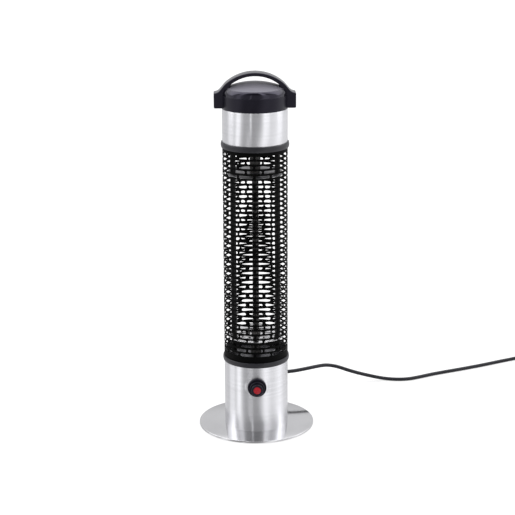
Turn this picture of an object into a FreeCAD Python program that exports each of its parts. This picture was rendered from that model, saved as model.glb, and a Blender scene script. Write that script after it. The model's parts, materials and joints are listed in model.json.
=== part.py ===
import FreeCAD, Part
import math
import os

import Sketcher
from FreeCAD import Placement, Rotation, Vector

# Free-standing electric tower heater for a terrace: a weighted round base, a lower steel
# housing with the push switch, a slotted guard around an upright lamp, an upper steel housing
# and a cap with a fixed carrying handle.
# Frame: +Z up, origin on the floor on the tower's axis, the switch faces -Y, the cord leaves
# at +Y. Millimetres.

UP = Vector(0, 0, 1)
ORIGIN = Vector(0, 0, 0)

SIZES = {
    # tower
    "tube_radius": 57.5,
    "tube_wall": 0.8,
    "lower_top": 126.1,
    "guard_bottom": 134.8,
    "guard_top": 518.5,
    "upper_bottom": 528.3,
    "upper_top": 587.2,
    # base
    "foot_height": 1.4,
    "foot_radius": 7,
    "foot_circle": 88,
    "base_radius": 104.5,
    "base_top": 4.8,
    "base_rim": 0.5,
    "base_bore": 30,
    "ballast_radius": 103.3,
    "ring_bore": 38,
    "ring_radius": 56.55,
    "ring_collar": 22,
    "screw_offset": 33.2,
    "screw_radius": 2,
    "screw_clearance": 0.25,
    # trim rings between the housings and the guard
    "trim_edge": 59.3,
    "trim_crown": 13.87,
    "spigot_radius": 56.5,
    "spigot_bore": 54.4,
    "trim_bore": 50,
    "trim_spigot": 11.2,
    "trim_short_spigot": 6.2,
    "ledge": 2,
    "ledge_rise": 3.9,
    # guard slots
    "guard_turn": -2.7,
    "slot_rows": 43,
    "slots_around": 12,
    "slot_first": 509.6,
    "slot_last": 149.3,
    "slot_width": 26.7,
    "slot_height": 5,
    # inner frame
    "plate": 1.5,
    "plate_radius": 54.2,
    "post_offset": 39.3,
    "post_radius": 5,
    "post_bore": 4,
    "post_overrun": 8,
    "nut_height": 5,
    "nut_flats": 14,
    "reflector_radius": 52,
    "reflector_height": 171.5,
    "top_disc_radius": 50,
    "top_disc_height": 471,
    "disc": 1,
    # lamp
    "lamp_radius": 5.8,
    "lamp_wall": 1,
    "lamp_bottom": 160,
    "lamp_top": 490,
    "filament_radius": 1.5,
    "end_cap_radius": 8.2,
    "end_cap_length": 30,
    "end_cap_low": 151,
    "end_cap_high": 469,
    "holder_radius": 9.5,
    "holder_low_top": 163,
    "holder_high_bottom": 474.5,
    # cap
    "skirt_top": 611,
    "skirt_bore": 53.9,
    "skirt_spigot": 12,
    "seam": 0.4,
    "shoulder_edge": 57.1,
    "shoulder_radius": 52.9,
    "shoulder_top": 622.1,
    "shoulder_arc": 12.5,
    "shoulder_spigot": 6.5,
    "lid_radius": 51.5,
    "lid_seat": 619.6,
    "lid_side": 621.6,
    "lid_dome_radius": 50.2,
    "lid_edge": 622.8,
    "lid_top": 633,
    "lid_crown": 5,
    "lid_arc": 1.4,
    "lid_dome": 128.6,
    "lid_inner_dome": 122.6,
    "lid_wall": 3,
    # handle
    "handle_width": 28,
    "handle_top": 650,
    "handle_under": 644.1,
    "handle_outer": 77.6,
    "handle_inner": 66.5,
    "handle_shoulder_x": 52,
    "handle_shoulder_z": 630,
    "handle_leg_x": 60.2,
    "handle_leg_z": 620.2,
    "handle_flare": 14,
    "ear_top_x": 69.9,
    "ear_top_z": 614.9,
    "ear_x": 71.5,
    "ear_corner": 1.6,
    "ear_foot": 2.6,
    "ear_bottom": 588.5,
    "ear_root": 50,
    "grip_x": 42.3,
    "grip_z": 629.3,
    "leg_root": 617,
    "handle_gap": 0.05,
    "notch_gap": 0.2,
    "handle_screw_height": 600,
    "handle_screw_spread": 7,
    "handle_screw_seat": 52.7,
    # switch, measured outwards from the tower's axis
    "switch_height": 89.3,
    "gasket": 0.8,
    "gasket_radius": 16.4,
    "bezel_radius": 17,
    "bezel_face": 61.6,
    "bezel_edge": 1.4,
    "collar_radius": 13.1,
    "collar_face": 67.6,
    "barrel_radius": 11.9,
    "barrel_bore": 10.8,
    "barrel_end": 42,
    "barrel_floor": 44,
    "housing_hole": 12.2,
    "button_radius": 10.5,
    "button_face": 74.3,
    "button_back": 50,
    "button_edge": 1,
    "stem_radius": 4,
    "stem_hole": 4.3,
    "stem_end": 38,
    "lens_radius": 6.5,
    "lens_depth": 2.2,
    "lens_proud": 0.7,
    "lens_flat": 1.5,
    "lens_crown": 18.2,
    "spring_radius": 6,
    "spring_wire": 1,
    "spring_turns": 3,
    "switch_nut_face": 53.2,
    "switch_nut_height": 5,
    "switch_nut_flats": 32,
    "block_width": 26,
    "block_back": 16,
    "blade_length": 8,
    # tip-over switch and terminals on the chassis plate
    "chassis_face": 20,
    "chassis_width": 44,
    "chassis_top": 122,
    "chassis_foot": 52,
    "chassis_foot_width": 28,
    "pivot_height": 114,
    "pivot_radius": 1.5,
    "pivot_clearance": 0.06,
    "bob_height": 92,
    "bob_radius": 8,
    "bob_start": 30,
    "bob_length": 8,
    "bracket_end": 45.5,
    "bracket_width": 28,
    "sensor_bottom": 75.5,
    "sensor_top": 82,
    "block_bottom": 54,
    "block_height": 16,
    "block_span": 40,
    "block_depth": 14,
    # cord, strain relief and plug
    "cord_diameter": 7,
    "exit_height": 44,
    "relief_inner": 50,
    "relief_flange": 61.5,
    "relief_flange_radius": 9.5,
    "relief_neck": 6,
    "relief_thick": 7.4,
    "relief_thin": 4.7,
    "relief_tip": 92,
    "coil_x": 604,
    "coil_y": 293,
    "coil_outer": 50.7,
    "coil_inner": 27.3,
    "coil_base": 0.8,
    "coil_top": 15.1,
    "coil_round": 3,
    "tie_width": 10,
    "tie": 0.8,
    "plug_x": 647.7,
    "plug_y": 245,
    "plug_radius": 18.5,
    "plug_neck": 5,
    "plug_shoulder": 9,
    "plug_boot": 28,
    "plug_length": 64,
    "pin_radius": 2.4,
    "pin_length": 19,
    "pin_spread": 9.5,
}

# Corners of the cord's free route, from the strain relief's tip to the outside of the coil.
CORD_ROUTE = [
    (0, 92, 44),
    (0.8, 104, 44),
    (6, 120, 44),
    (18, 133.3, 44),
    (40, 141, 44),
    (72, 147, 44),
    (96.6, 157.2, 44.6),
    (121.2, 172, 44.3),
    (140.9, 185.5, 42.5),
    (161.7, 192.1, 37),
    (184.7, 193.2, 28),
    (209.5, 198.4, 18.5),
    (234.4, 205.1, 10),
    (257.3, 207.8, 4),
    (282.5, 202.5, 3.5),
    (306.4, 204.1, 3.5),
    (331.1, 215.8, 3.5),
    (356.7, 230, 3.5),
    (383.4, 241.8, 3.5),
    (421, 257.9, 3.5),
    (460.5, 276, 3.5),
    (498.9, 296, 3.5),
    (537.4, 315.1, 3.5),
    (563, 326.5, 4),
    (584, 335.5, 4.3),
]

# From the coil's outermost upper turn to the neck of the plug.
TAIL_ROUTE = [
    (647.7, 289, 11.4),
    (647.8, 279, 12.2),
    (647.6, 266, 15.8),
    (647.7, 254.5, 18.5),
    (647.7, 245, 18.5),
]

# Leads inside the housings: corners of each insulated lead.
LEAD_DIAMETER = 2.6
LEADS = [
    [(-5, 49.9, 44), (-5, 40, 44.2), (-5, 31, 46), (-5, 29, 50.5), (-5, 29, 53.9)],
    [(0, 49.9, 44), (0, 40, 44.2), (0, 31, 46), (0, 29, 50.5), (0, 29, 53.9)],
    [(5, 49.9, 44), (5, 40, 44.2), (5, 31, 46), (5, 29, 50.5), (5, 29, 53.9)],
    [(-16, 29, 70.1), (-16, 29, 76), (-27, 26, 88), (-32, 14, 102), (-22, 8, 120), (-5, 0, 133.4)],
    [(16, 29, 70.1), (16, 29, 76), (27, 26, 88), (32, 14, 102), (22, 8, 120), (5, 0, 133.4)],
    [(-20.1, 29, 58), (-26, 28, 58), (-30, 18, 62), (-26, 4, 74), (-8, -3, 84), (-6, -7.9, 84)],
    [(20.1, 29, 58), (26, 28, 58), (30, 18, 62), (26, 4, 74), (8, -3, 84), (6, -7.9, 84)],
]

doc = FreeCAD.newDocument("TerraceHeater")
sheet = doc.addObject("Spreadsheet::Sheet", "Sizes")
for row, (alias, size) in enumerate(SIZES.items(), start=1):
    sheet.set(f"A{row}", alias)
    sheet.set(f"B{row}", str(size))
    sheet.setAlias(f"B{row}", alias)
doc.recompute()

nodes = []


def number(formula):
    """Value of a formula such as "tube_radius - tube_wall" or "plug_radius * 0.5"."""
    total = 0
    for term in str(formula).replace(" - ", " + -").split(" + "):
        product = -1 if term.startswith("-") else 1
        for factor in term.removeprefix("-").split(" * "):
            product *= sheet.get(factor) if factor in SIZES else float(factor)
        total += product
    return total


def linked(formula):
    """The same formula with each name pointing at its cell in the sheet."""
    words = str(formula).replace("-", "- ").split()
    return " ".join(f"Sizes.{word}" if word in SIZES else word for word in words)


def bind(item, path, formula):
    item.setExpression(path, linked(formula))


def node(item):
    """Marks a finished sub-part: its Label is the name of its file."""
    nodes.append(item)
    return item


# ---- sketches and bodies ------------------------------------------------------------------

def new_sketch(body, name, role="XZ_Plane"):
    plane = next(item for item in body.Origin.OriginFeatures if item.Role == role)
    sketch = body.newObject("Sketcher::SketchObject", name)
    sketch.AttachmentSupport = [(plane, "")]
    sketch.MapMode = "FlatFace"
    return sketch


def pin_point(sketch, edge, end, corner, name):
    """Holds one sketch point at a corner given by two formulas."""
    for kind, formula, axis in (("DistanceX", corner[0], -2), ("DistanceY", corner[1], -1)):
        if number(formula) == 0:
            sketch.addConstraint(Sketcher.Constraint("PointOnObject", edge, end, axis))
            continue
        index = sketch.addConstraint(
            Sketcher.Constraint(kind, -1, 1, edge, end, number(formula)))
        label = f"{name}_{kind[-1].lower()}"
        sketch.renameConstraint(index, label)
        bind(sketch, f"Constraints.{label}", formula)


def bowed(start, end, radius, side):
    """Middle point of the arc from start to end that bulges to one side of the chord."""
    chord = end - start
    rise = radius - math.sqrt(radius ** 2 - (chord.Length / 2) ** 2)
    sideways = Vector(chord.y, -chord.x, 0).normalize()
    return (start + end) * 0.5 + sideways * rise * side


def outline(sketch, corners, arcs=None):
    """Closed outline through corners; arcs maps the number of a side to (radius, side)."""
    arcs = arcs or {}
    points = [Vector(number(x), number(y), 0) for x, y in corners]
    edges = []
    for index, start in enumerate(points):
        end = points[(index + 1) % len(points)]
        if index in arcs:
            radius, side = arcs[index]
            curve = Part.Arc(start, bowed(start, end, number(radius), side), end)
        else:
            curve = Part.LineSegment(start, end)
        edge = sketch.addGeometry(curve, False)
        starts_first = sketch.getPoint(edge, 1).distanceToPoint(start) < 1e-6
        edges.append((edge, 1, 2) if starts_first else (edge, 2, 1))
    for index, (edge, first, last) in enumerate(edges):
        after = edges[(index + 1) % len(edges)]
        sketch.addConstraint(Sketcher.Constraint("Coincident", edge, last, after[0], after[1]))
        pin_point(sketch, edge, first, corners[index], f"p{index}")
        if index in arcs:
            number_of = sketch.addConstraint(
                Sketcher.Constraint("Radius", edge, number(arcs[index][0])))
            sketch.renameConstraint(number_of, f"r{index}")
            bind(sketch, f"Constraints.r{index}", arcs[index][0])


def circle(sketch, centre, radius, name="hole"):
    middle = Vector(number(centre[0]), number(centre[1]), 0)
    edge = sketch.addGeometry(Part.Circle(middle, UP, number(radius)), False)
    pin_point(sketch, edge, 3, centre, name)
    index = sketch.addConstraint(Sketcher.Constraint("Radius", edge, number(radius)))
    sketch.renameConstraint(index, f"{name}_r")
    bind(sketch, f"Constraints.{name}_r", radius)


def turned(label, corners, arcs=None):
    """Body of revolution about Z from a half section given as (radius, height) corners."""
    body = doc.addObject("PartDesign::Body", label)
    sketch = new_sketch(body, f"{label}_section")
    outline(sketch, corners, arcs)
    spin = body.newObject("PartDesign::Revolution", f"{label}_spin")
    spin.Profile = sketch
    spin.ReferenceAxis = (sketch, ["V_Axis"])
    spin.Angle = 360
    return body


def padded(label, corners, depth, role="XZ_Plane", arcs=None, start="0"):
    """Body padded both ways from an origin plane, or one way from a height above it."""
    body = doc.addObject("PartDesign::Body", label)
    sketch = new_sketch(body, f"{label}_section", role)
    outline(sketch, corners, arcs)
    pad = body.newObject("PartDesign::Pad", f"{label}_pad")
    pad.Profile = sketch
    bind(pad, "Length", depth)
    if start == "0":
        pad.SideType = "Symmetric"
    else:
        bind(sketch, "AttachmentOffset.Base.z", start)
    return body


def drill(body, name, role, holes, depth, reverse=False):
    """Round holes (x, y, radius) cut through a body from one of its origin planes."""
    sketch = new_sketch(body, f"{name}_circles", role)
    for index, (x, y, radius) in enumerate(holes):
        circle(sketch, (x, y), radius, f"hole{index}")
    pocket = body.newObject("PartDesign::Pocket", name)
    pocket.Profile = sketch
    bind(pocket, "Length", depth)
    pocket.Reversed = reverse
    return pocket


def ring_of_holes(body, name, offset, radius, depth):
    """Four equal holes at the corners of a square about Z, cut upwards from the floor plane."""
    pocket = drill(body, name, "XY_Plane", [(offset, offset, radius)], depth, reverse=True)
    pattern = body.newObject("PartDesign::PolarPattern", f"{name}_around")
    pattern.Originals = [pocket]
    axis = next(item for item in body.Origin.OriginFeatures if item.Role == "Z_Axis")
    pattern.Axis = (axis, [""])
    pattern.Angle = 360
    pattern.Occurrences = 4
    body.Tip = pattern


# ---- primitives and booleans --------------------------------------------------------------

def place(item, at, axis=UP):
    item.Placement = Placement(ORIGIN, Rotation(UP, axis))
    for letter, formula in zip("xyz", at):
        bind(item, f"Placement.Base.{letter}", formula)


def rod(label, radius, height, at=("0", "0", "0"), axis=UP):
    item = doc.addObject("Part::Cylinder", label)
    bind(item, "Radius", radius)
    bind(item, "Height", height)
    place(item, at, axis)
    return item


def block(label, size, at):
    item = doc.addObject("Part::Box", label)
    for path, formula in zip(("Length", "Width", "Height"), size):
        bind(item, path, formula)
    place(item, at)
    return item


def combine(kind, label, base, tool):
    item = doc.addObject(f"Part::{kind}", label)
    item.Base = base
    item.Tool = tool
    return item


def shaped(label, shape):
    """Sub-part made directly with Part's functions, from sizes read out of the sheet."""
    item = doc.addObject("Part::Feature", label)
    item.Shape = shape
    return item


def fuse(shapes):
    return shapes[0].multiFuse(shapes[1:]).removeSplitter()


def hexagon(flats, height, centre, bore=0.0):
    """Upright hexagonal prism with a bore, across flats."""
    corner = flats / math.sqrt(3)
    ring = [centre + Vector(corner * math.cos(math.radians(60 * k)),
                            corner * math.sin(math.radians(60 * k)), 0) for k in range(7)]
    prism = Part.Face(Part.makePolygon(ring)).extrude(UP * height)
    if bore:
        prism = prism.cut(Part.makeCylinder(bore, height, centre))
    return prism


def around(radius, count):
    """Points spaced evenly on a circle about Z, the first one at 45 degrees."""
    for index in range(count):
        angle = math.radians(45 + index * 360 / count)
        yield Vector(radius * math.cos(angle), radius * math.sin(angle), 0)


# ---- base -----------------------------------------------------------------------------------

def make_base():
    under = "base_top - tube_wall"
    inside = "base_radius - tube_wall"
    cover = node(turned("base_cover", [
        ("base_bore", under), (inside, under), (inside, "foot_height"),
        ("base_radius", "foot_height"), ("base_radius", "base_top - base_rim"),
        ("base_radius - base_rim", "base_top"), ("base_bore", "base_top"),
    ], {4: ("base_rim", 1)}))
    ballast = node(turned("ballast_plate", [
        ("0", "foot_height"), ("ballast_radius", "foot_height"),
        ("ballast_radius", under), ("0", under),
    ]))
    ring = node(turned("mounting_ring", [
        ("ring_bore", "base_top"), ("ring_radius", "base_top"), ("ring_radius", "ring_collar"),
        ("ring_radius - plate", "ring_collar"), ("ring_radius - plate", "base_top + plate"),
        ("ring_bore", "base_top + plate"),
    ]))
    for body in (cover, ballast, ring):
        ring_of_holes(body, f"{body.Label}_holes", "screw_offset",
                      "screw_radius + screw_clearance", "base_top + plate * 2")

    foot_height = number("foot_height")
    feet = [Part.makeCylinder(number("foot_radius"), foot_height, point)
            for point in around(number("foot_circle"), 4)]
    node(shaped("base_feet", Part.makeCompound(feet)))

    head, head_height = 4, 1
    screws, nuts = [], []
    seat = number("base_top + plate")
    for point in around(number("screw_offset") * math.sqrt(2), 4):
        low = point + UP * (foot_height - head_height)
        cap = Part.makeCylinder(head, head_height, low)
        drive = hexagon(2.5, 0.6, low)
        shank = Part.makeCylinder(number("screw_radius"), 9.5, point + UP * foot_height)
        screws.append(fuse([cap.cut(drive), shank]))
        nuts.append(hexagon(7, 3, point + UP * seat, number("screw_radius") + 0.05))
    node(shaped("base_screws", Part.makeCompound(screws)))
    node(shaped("base_nuts", Part.makeCompound(nuts)))


# ---- housings, trim rings and guard -----------------------------------------------------------

def make_housings():
    inner = "tube_radius - tube_wall"
    lower = node(turned("lower_housing", [
        (inner, "base_top"), ("tube_radius", "base_top"),
        ("tube_radius", "lower_top"), (inner, "lower_top"),
    ]))
    drill(lower, "switch_hole", "XZ_Plane", [("0", "switch_height", "housing_hole")],
          "base_radius", reverse=True)
    drill(lower, "cord_hole", "XZ_Plane", [("0", "exit_height", "relief_neck + 0.1")],
          "base_radius")
    node(turned("upper_housing", [
        (inner, "upper_bottom"), ("tube_radius", "upper_bottom"),
        ("tube_radius", "upper_top"), (inner, "upper_top"),
    ]))


def trim_ring(label, bottom, top, low_spigot, high_spigot, ledge):
    """Domed band with a spigot into the tube on each side and a ledge for a plate."""
    low = f"{bottom} - {low_spigot}"
    high = f"{top} + {high_spigot}"
    return node(turned(label, [
        ("spigot_bore", low), ("spigot_radius", low), ("spigot_radius", bottom),
        ("trim_edge", bottom), ("trim_edge", top), ("spigot_radius", top),
        ("spigot_radius", high), ("spigot_bore", high), ("spigot_bore", f"{ledge} + ledge"),
        ("trim_bore", f"{ledge} + ledge"), ("trim_bore", ledge), ("spigot_bore", ledge),
    ], {3: ("trim_crown", 1)}))


def flat_at(face, level):
    """Whether a face lies flat at one height."""
    box = face.BoundBox
    return abs(box.ZMin - level) < 1e-6 and abs(box.ZMax - level) < 1e-6


def guard_band(bottom, top, joins, slots=()):
    """Faces of one band of the guard's wall, open at the heights where it joins another band."""
    outer = number("tube_radius")
    height = top - bottom
    bore = Part.makeCylinder(outer - number("tube_wall"), height, UP * bottom)
    band = Part.makeCylinder(outer, height, UP * bottom).cut([bore, *slots])
    return [face for face in band.Faces if not any(flat_at(face, level) for level in joins)]


def make_guard():
    """Thin tube with staggered rows of round-ended slots, one band of wall to each row."""
    half = number("slot_height") / 2
    reach = number("slot_width") / 2 - half
    near, far = -number("tube_radius") - 2, -number("tube_radius") + 4
    left, right = Vector(-reach, near, 0), Vector(reach, near, 0)
    edges = [
        Part.LineSegment(left + UP * half, right + UP * half),
        Part.Arc(right + UP * half, right + Vector(half, 0, 0), right - UP * half),
        Part.LineSegment(right - UP * half, left - UP * half),
        Part.Arc(left - UP * half, left - Vector(half, 0, 0), left + UP * half),
    ]
    face = Part.Face(Part.Wire([edge.toShape() for edge in edges]))
    slot = face.extrude(Vector(0, far - near, 0))

    rows = int(number("slot_rows"))
    count = int(number("slots_around"))
    step = 360 / count
    drop = (number("slot_first") - number("slot_last")) / (rows - 1)
    levels = [number("slot_first") + drop / 2 - row * drop for row in range(rows + 1)]
    faces = guard_band(levels[0], number("guard_top"), [levels[0]])
    faces += guard_band(number("guard_bottom"), levels[-1], [levels[-1]])
    for row, (top, bottom) in enumerate(zip(levels, levels[1:])):
        shift = number("guard_turn") + (step / 2 if row % 2 == 0 else 0)
        slots = []
        for column in range(count):
            copy = slot.copy()
            copy.rotate(ORIGIN, UP, shift + column * step)
            copy.translate(UP * (top + bottom) / 2)
            slots.append(copy)
        faces += guard_band(bottom, top, [bottom, top], slots)
    shell = Part.Shell(faces)
    shell.sewShape()
    node(shaped("guard", Part.Solid(shell)))


# ---- inner frame and lamp ---------------------------------------------------------------------

def pierced_disc(label, radius, height, thickness, centre_hole, post_hole):
    """Flat disc with a hole for the lamp and one for each post."""
    body = turned(label, [
        ("0", height), (radius, height), (radius, f"{height} + {thickness}"),
        ("0", f"{height} + {thickness}"),
    ])
    drill(body, f"{label}_holes", "XY_Plane", [
        ("0", "0", centre_hole), ("post_offset", "0", post_hole),
        ("-post_offset", "0", post_hole),
    ], "handle_top", reverse=True)
    return node(body)


def make_inner_frame():
    low_plate = "guard_bottom - ledge_rise + ledge"
    high_plate = "guard_top + ledge + ledge"
    trim_ring("lower_trim_ring", "lower_top", "guard_bottom", "trim_spigot", "trim_spigot",
              "guard_bottom - ledge_rise")
    trim_ring("upper_trim_ring", "guard_top", "upper_bottom", "trim_short_spigot",
              "trim_spigot", "guard_top + ledge")
    snug = "post_radius + 0.1"
    pierced_disc("lower_bulkhead", "plate_radius", low_plate, "plate", "holder_radius - 2", snug)
    pierced_disc("upper_bulkhead", "plate_radius", high_plate, "plate", "holder_radius - 2", snug)
    loose = "end_cap_radius + 0.3"
    pierced_disc("lower_reflector", "reflector_radius", "reflector_height", "disc", loose, snug)
    pierced_disc("upper_disc", "top_disc_radius", "top_disc_height", "disc", loose, snug)

    overrun = number("post_overrun")
    bottom = number(low_plate) - overrun
    top = number(high_plate) + number("plate") + overrun
    outer, bore = number("post_radius"), number("post_bore")
    nut = number("nut_height")
    nut_levels = [
        number(low_plate) - nut, number(low_plate) + number("plate"),
        number("reflector_height") - nut, number("top_disc_height") - nut,
        number(high_plate) - nut, number(high_plate) + number("plate"),
    ]
    posts, nuts = [], []
    for side in (-1, 1):
        foot = Vector(side * number("post_offset"), 0, 0)
        tube = Part.makeCylinder(outer, top - bottom, foot + UP * bottom)
        posts.append(tube.cut(Part.makeCylinder(bore, top - bottom, foot + UP * bottom)))
        for level in nut_levels:
            nuts.append(hexagon(number("nut_flats"), nut, foot + UP * level, outer + 0.05))
    node(shaped("support_posts", Part.makeCompound(posts)))
    node(shaped("post_nuts", Part.makeCompound(nuts)))
    return low_plate, high_plate


def make_lamp(low_plate, high_plate):
    inner = "lamp_radius - lamp_wall"
    node(turned("lamp_tube", [
        (inner, "lamp_bottom"), ("lamp_radius", "lamp_bottom"),
        ("lamp_radius", "lamp_top"), (inner, "lamp_top"),
    ]))
    node(rod("lamp_filament", "filament_radius",
             "lamp_top - lamp_bottom - end_cap_length", ("0", "0", "lamp_bottom + 15")))
    deep = "end_cap_length - 6"
    for label, low, mouth in (("lower_end_cap", "end_cap_low", "end_cap_low + 6"),
                              ("upper_end_cap", "end_cap_high", "end_cap_high")):
        shell = rod(f"{label}_shell", "end_cap_radius", "end_cap_length", ("0", "0", low))
        seat = rod(f"{label}_seat", "lamp_radius + 0.05", deep, ("0", "0", mouth))
        node(combine("Cut", label, shell, seat))
    snug = "end_cap_radius + 0.05"
    node(turned("lower_lamp_holder", [
        ("0", f"{low_plate} + plate"), ("holder_radius", f"{low_plate} + plate"),
        ("holder_radius", "holder_low_top"), (snug, "holder_low_top"),
        (snug, "end_cap_low - 0.2"), ("0", "end_cap_low - 0.2"),
    ]))
    node(turned("upper_lamp_holder", [
        (snug, "holder_high_bottom"), ("holder_radius", "holder_high_bottom"),
        ("holder_radius", high_plate), ("0", high_plate),
        ("0", "end_cap_high + end_cap_length + 0.2"),
        (snug, "end_cap_high + end_cap_length + 0.2"),
    ]))


# ---- cap and handle ---------------------------------------------------------------------------

def make_cap():
    spigot = "upper_top - skirt_spigot"
    skirt = turned("skirt_blank", [
        ("skirt_bore", spigot), ("spigot_radius", spigot), ("spigot_radius", "upper_top"),
        ("tube_radius", "upper_top"), ("tube_radius", "skirt_top - seam"),
        ("tube_radius - seam", "skirt_top"), ("skirt_bore", "skirt_top"),
    ])
    drills = []
    screws = []
    height, spread = number("handle_screw_height"), number("handle_screw_spread")
    reach = number("handle_screw_seat")
    for side in (-1, 1):
        for y in (-spread, spread):
            along = Vector(side, 0, 0)
            seat = Vector(side * reach, y, height)
            drills.append(Part.makeCylinder(2.2, 8, seat - along, along))
            head = Part.makeCylinder(3.5, 2.4, seat - along * 2.4, along)
            screws.append(fuse([head, Part.makeCylinder(2, 13, seat, along)]))
    clearances = shaped("skirt_drillings", Part.makeCompound(drills))
    node(combine("Cut", "cap_skirt", skirt, clearances))
    node(shaped("handle_screws", Part.makeCompound(screws)))

    lip = "skirt_top + 0.2"
    node(turned("cap_shoulder", [
        ("skirt_bore - 2.5", "skirt_top - shoulder_spigot"),
        ("skirt_bore - 0.1", "skirt_top - shoulder_spigot"), ("skirt_bore - 0.1", lip),
        ("shoulder_edge", lip), ("shoulder_radius", "shoulder_top"),
        ("lid_radius + 0.2", "shoulder_top"), ("lid_radius + 0.2", "lid_seat"),
        ("lid_radius - 6", "lid_seat"), ("lid_radius - 6", "lid_seat - lid_wall"),
        ("lid_radius - 1.5", "lid_seat - lid_wall"),
    ], {3: ("shoulder_arc", 1)}))

    lid = turned("lid_blank", [
        ("0", "lid_top - lid_wall"), ("lid_crown", "lid_top - lid_wall"),
        ("lid_radius - lid_wall", "lid_seat + 0.4"), ("lid_radius - lid_wall", "lid_seat"),
        ("lid_radius", "lid_seat"), ("lid_radius", "lid_side"),
        ("lid_dome_radius", "lid_edge"), ("lid_crown", "lid_top"), ("0", "lid_top"),
    ], {1: ("lid_inner_dome", -1), 5: ("lid_arc", 1), 6: ("lid_dome", 1)})
    gap = "notch_gap"
    notch_size = ("10", "handle_width + notch_gap + notch_gap", "20")
    corner_y = "-handle_width * 0.5 - notch_gap"
    right = block("right_notch", notch_size, (f"grip_x - {gap}", corner_y, "lid_seat - 5"))
    left = block("left_notch", notch_size, ("-grip_x + notch_gap - 10", corner_y, "lid_seat - 5"))
    notches = combine("Fuse", "lid_notches", right, left)
    node(combine("Cut", "cap_lid", lid, notches))


def make_handle():
    """One moulding: an arched strap that runs into an ear on each side of the cap."""
    right = [
        ("0", "handle_top"),
        ("handle_shoulder_x", "handle_shoulder_z"),
        ("handle_leg_x", "handle_leg_z"),
        ("ear_top_x", "ear_top_z"),
        ("ear_x", "ear_top_z - ear_corner"),
        ("ear_x", "ear_bottom + ear_foot"),
        ("ear_x - ear_foot", "ear_bottom"),
        ("ear_root", "ear_bottom"),
        ("ear_root", "leg_root"),
        ("grip_x", "leg_root"),
        ("grip_x", "grip_z"),
        ("0", "handle_under"),
    ]
    left = [(f"-{x}".replace(" - ", " + "), z) for x, z in reversed(right[1:-1])]
    top_corner, foot_corner = ("ear_corner", -1), ("ear_foot", -1)
    outer, inner, flare = ("handle_outer", -1), ("handle_inner", 1), ("handle_flare", 1)
    arcs = {
        0: outer, 2: flare, 3: top_corner, 5: foot_corner, 10: inner,
        11: inner, 16: foot_corner, 18: top_corner, 19: flare, 21: outer,
    }
    blank = padded("handle_blank", right + left, "handle_width", arcs=arcs)
    gap = "handle_gap"
    envelope = turned("cap_envelope", [
        ("0", "ear_bottom - 10"), (f"tube_radius + {gap}", "ear_bottom - 10"),
        (f"tube_radius + {gap}", "skirt_top + 0.2"), (f"shoulder_edge + {gap}", "skirt_top + 0.2"),
        (f"shoulder_radius + {gap}", f"shoulder_top + {gap}"), ("0", f"shoulder_top + {gap}"),
    ], {3: ("shoulder_arc", 1)})
    node(combine("Cut", "handle", blank, envelope))


# ---- switch -------------------------------------------------------------------------------------

OUTWARDS = Rotation(Vector(1, 0, 0), 90)
BACKWARDS = Rotation(Vector(1, 0, 0), -90)
FRONT = Vector(0, -1, 0)
REAR = Vector(0, 1, 0)


def facing(item, rotation, at):
    """Turns a body made about Z so that its length runs along Y."""
    item.Placement = Placement(ORIGIN, rotation)
    for letter, formula in zip("xyz", at):
        bind(item, f"Placement.Base.{letter}", formula)
    return item


def wall_shell(label, inner, outer, opening, height, axis):
    """Curved band of the tower's wall with a round opening, for saddle-shaped faces."""
    band = combine("Cut", f"{label}_band", rod(f"{label}_outer", outer, "lower_top"),
                   rod(f"{label}_inner", inner, "lower_top"))
    hole = rod(f"{label}_opening", opening, "base_radius", ("0", "0", height), axis)
    return combine("Cut", label, band, hole)


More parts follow.
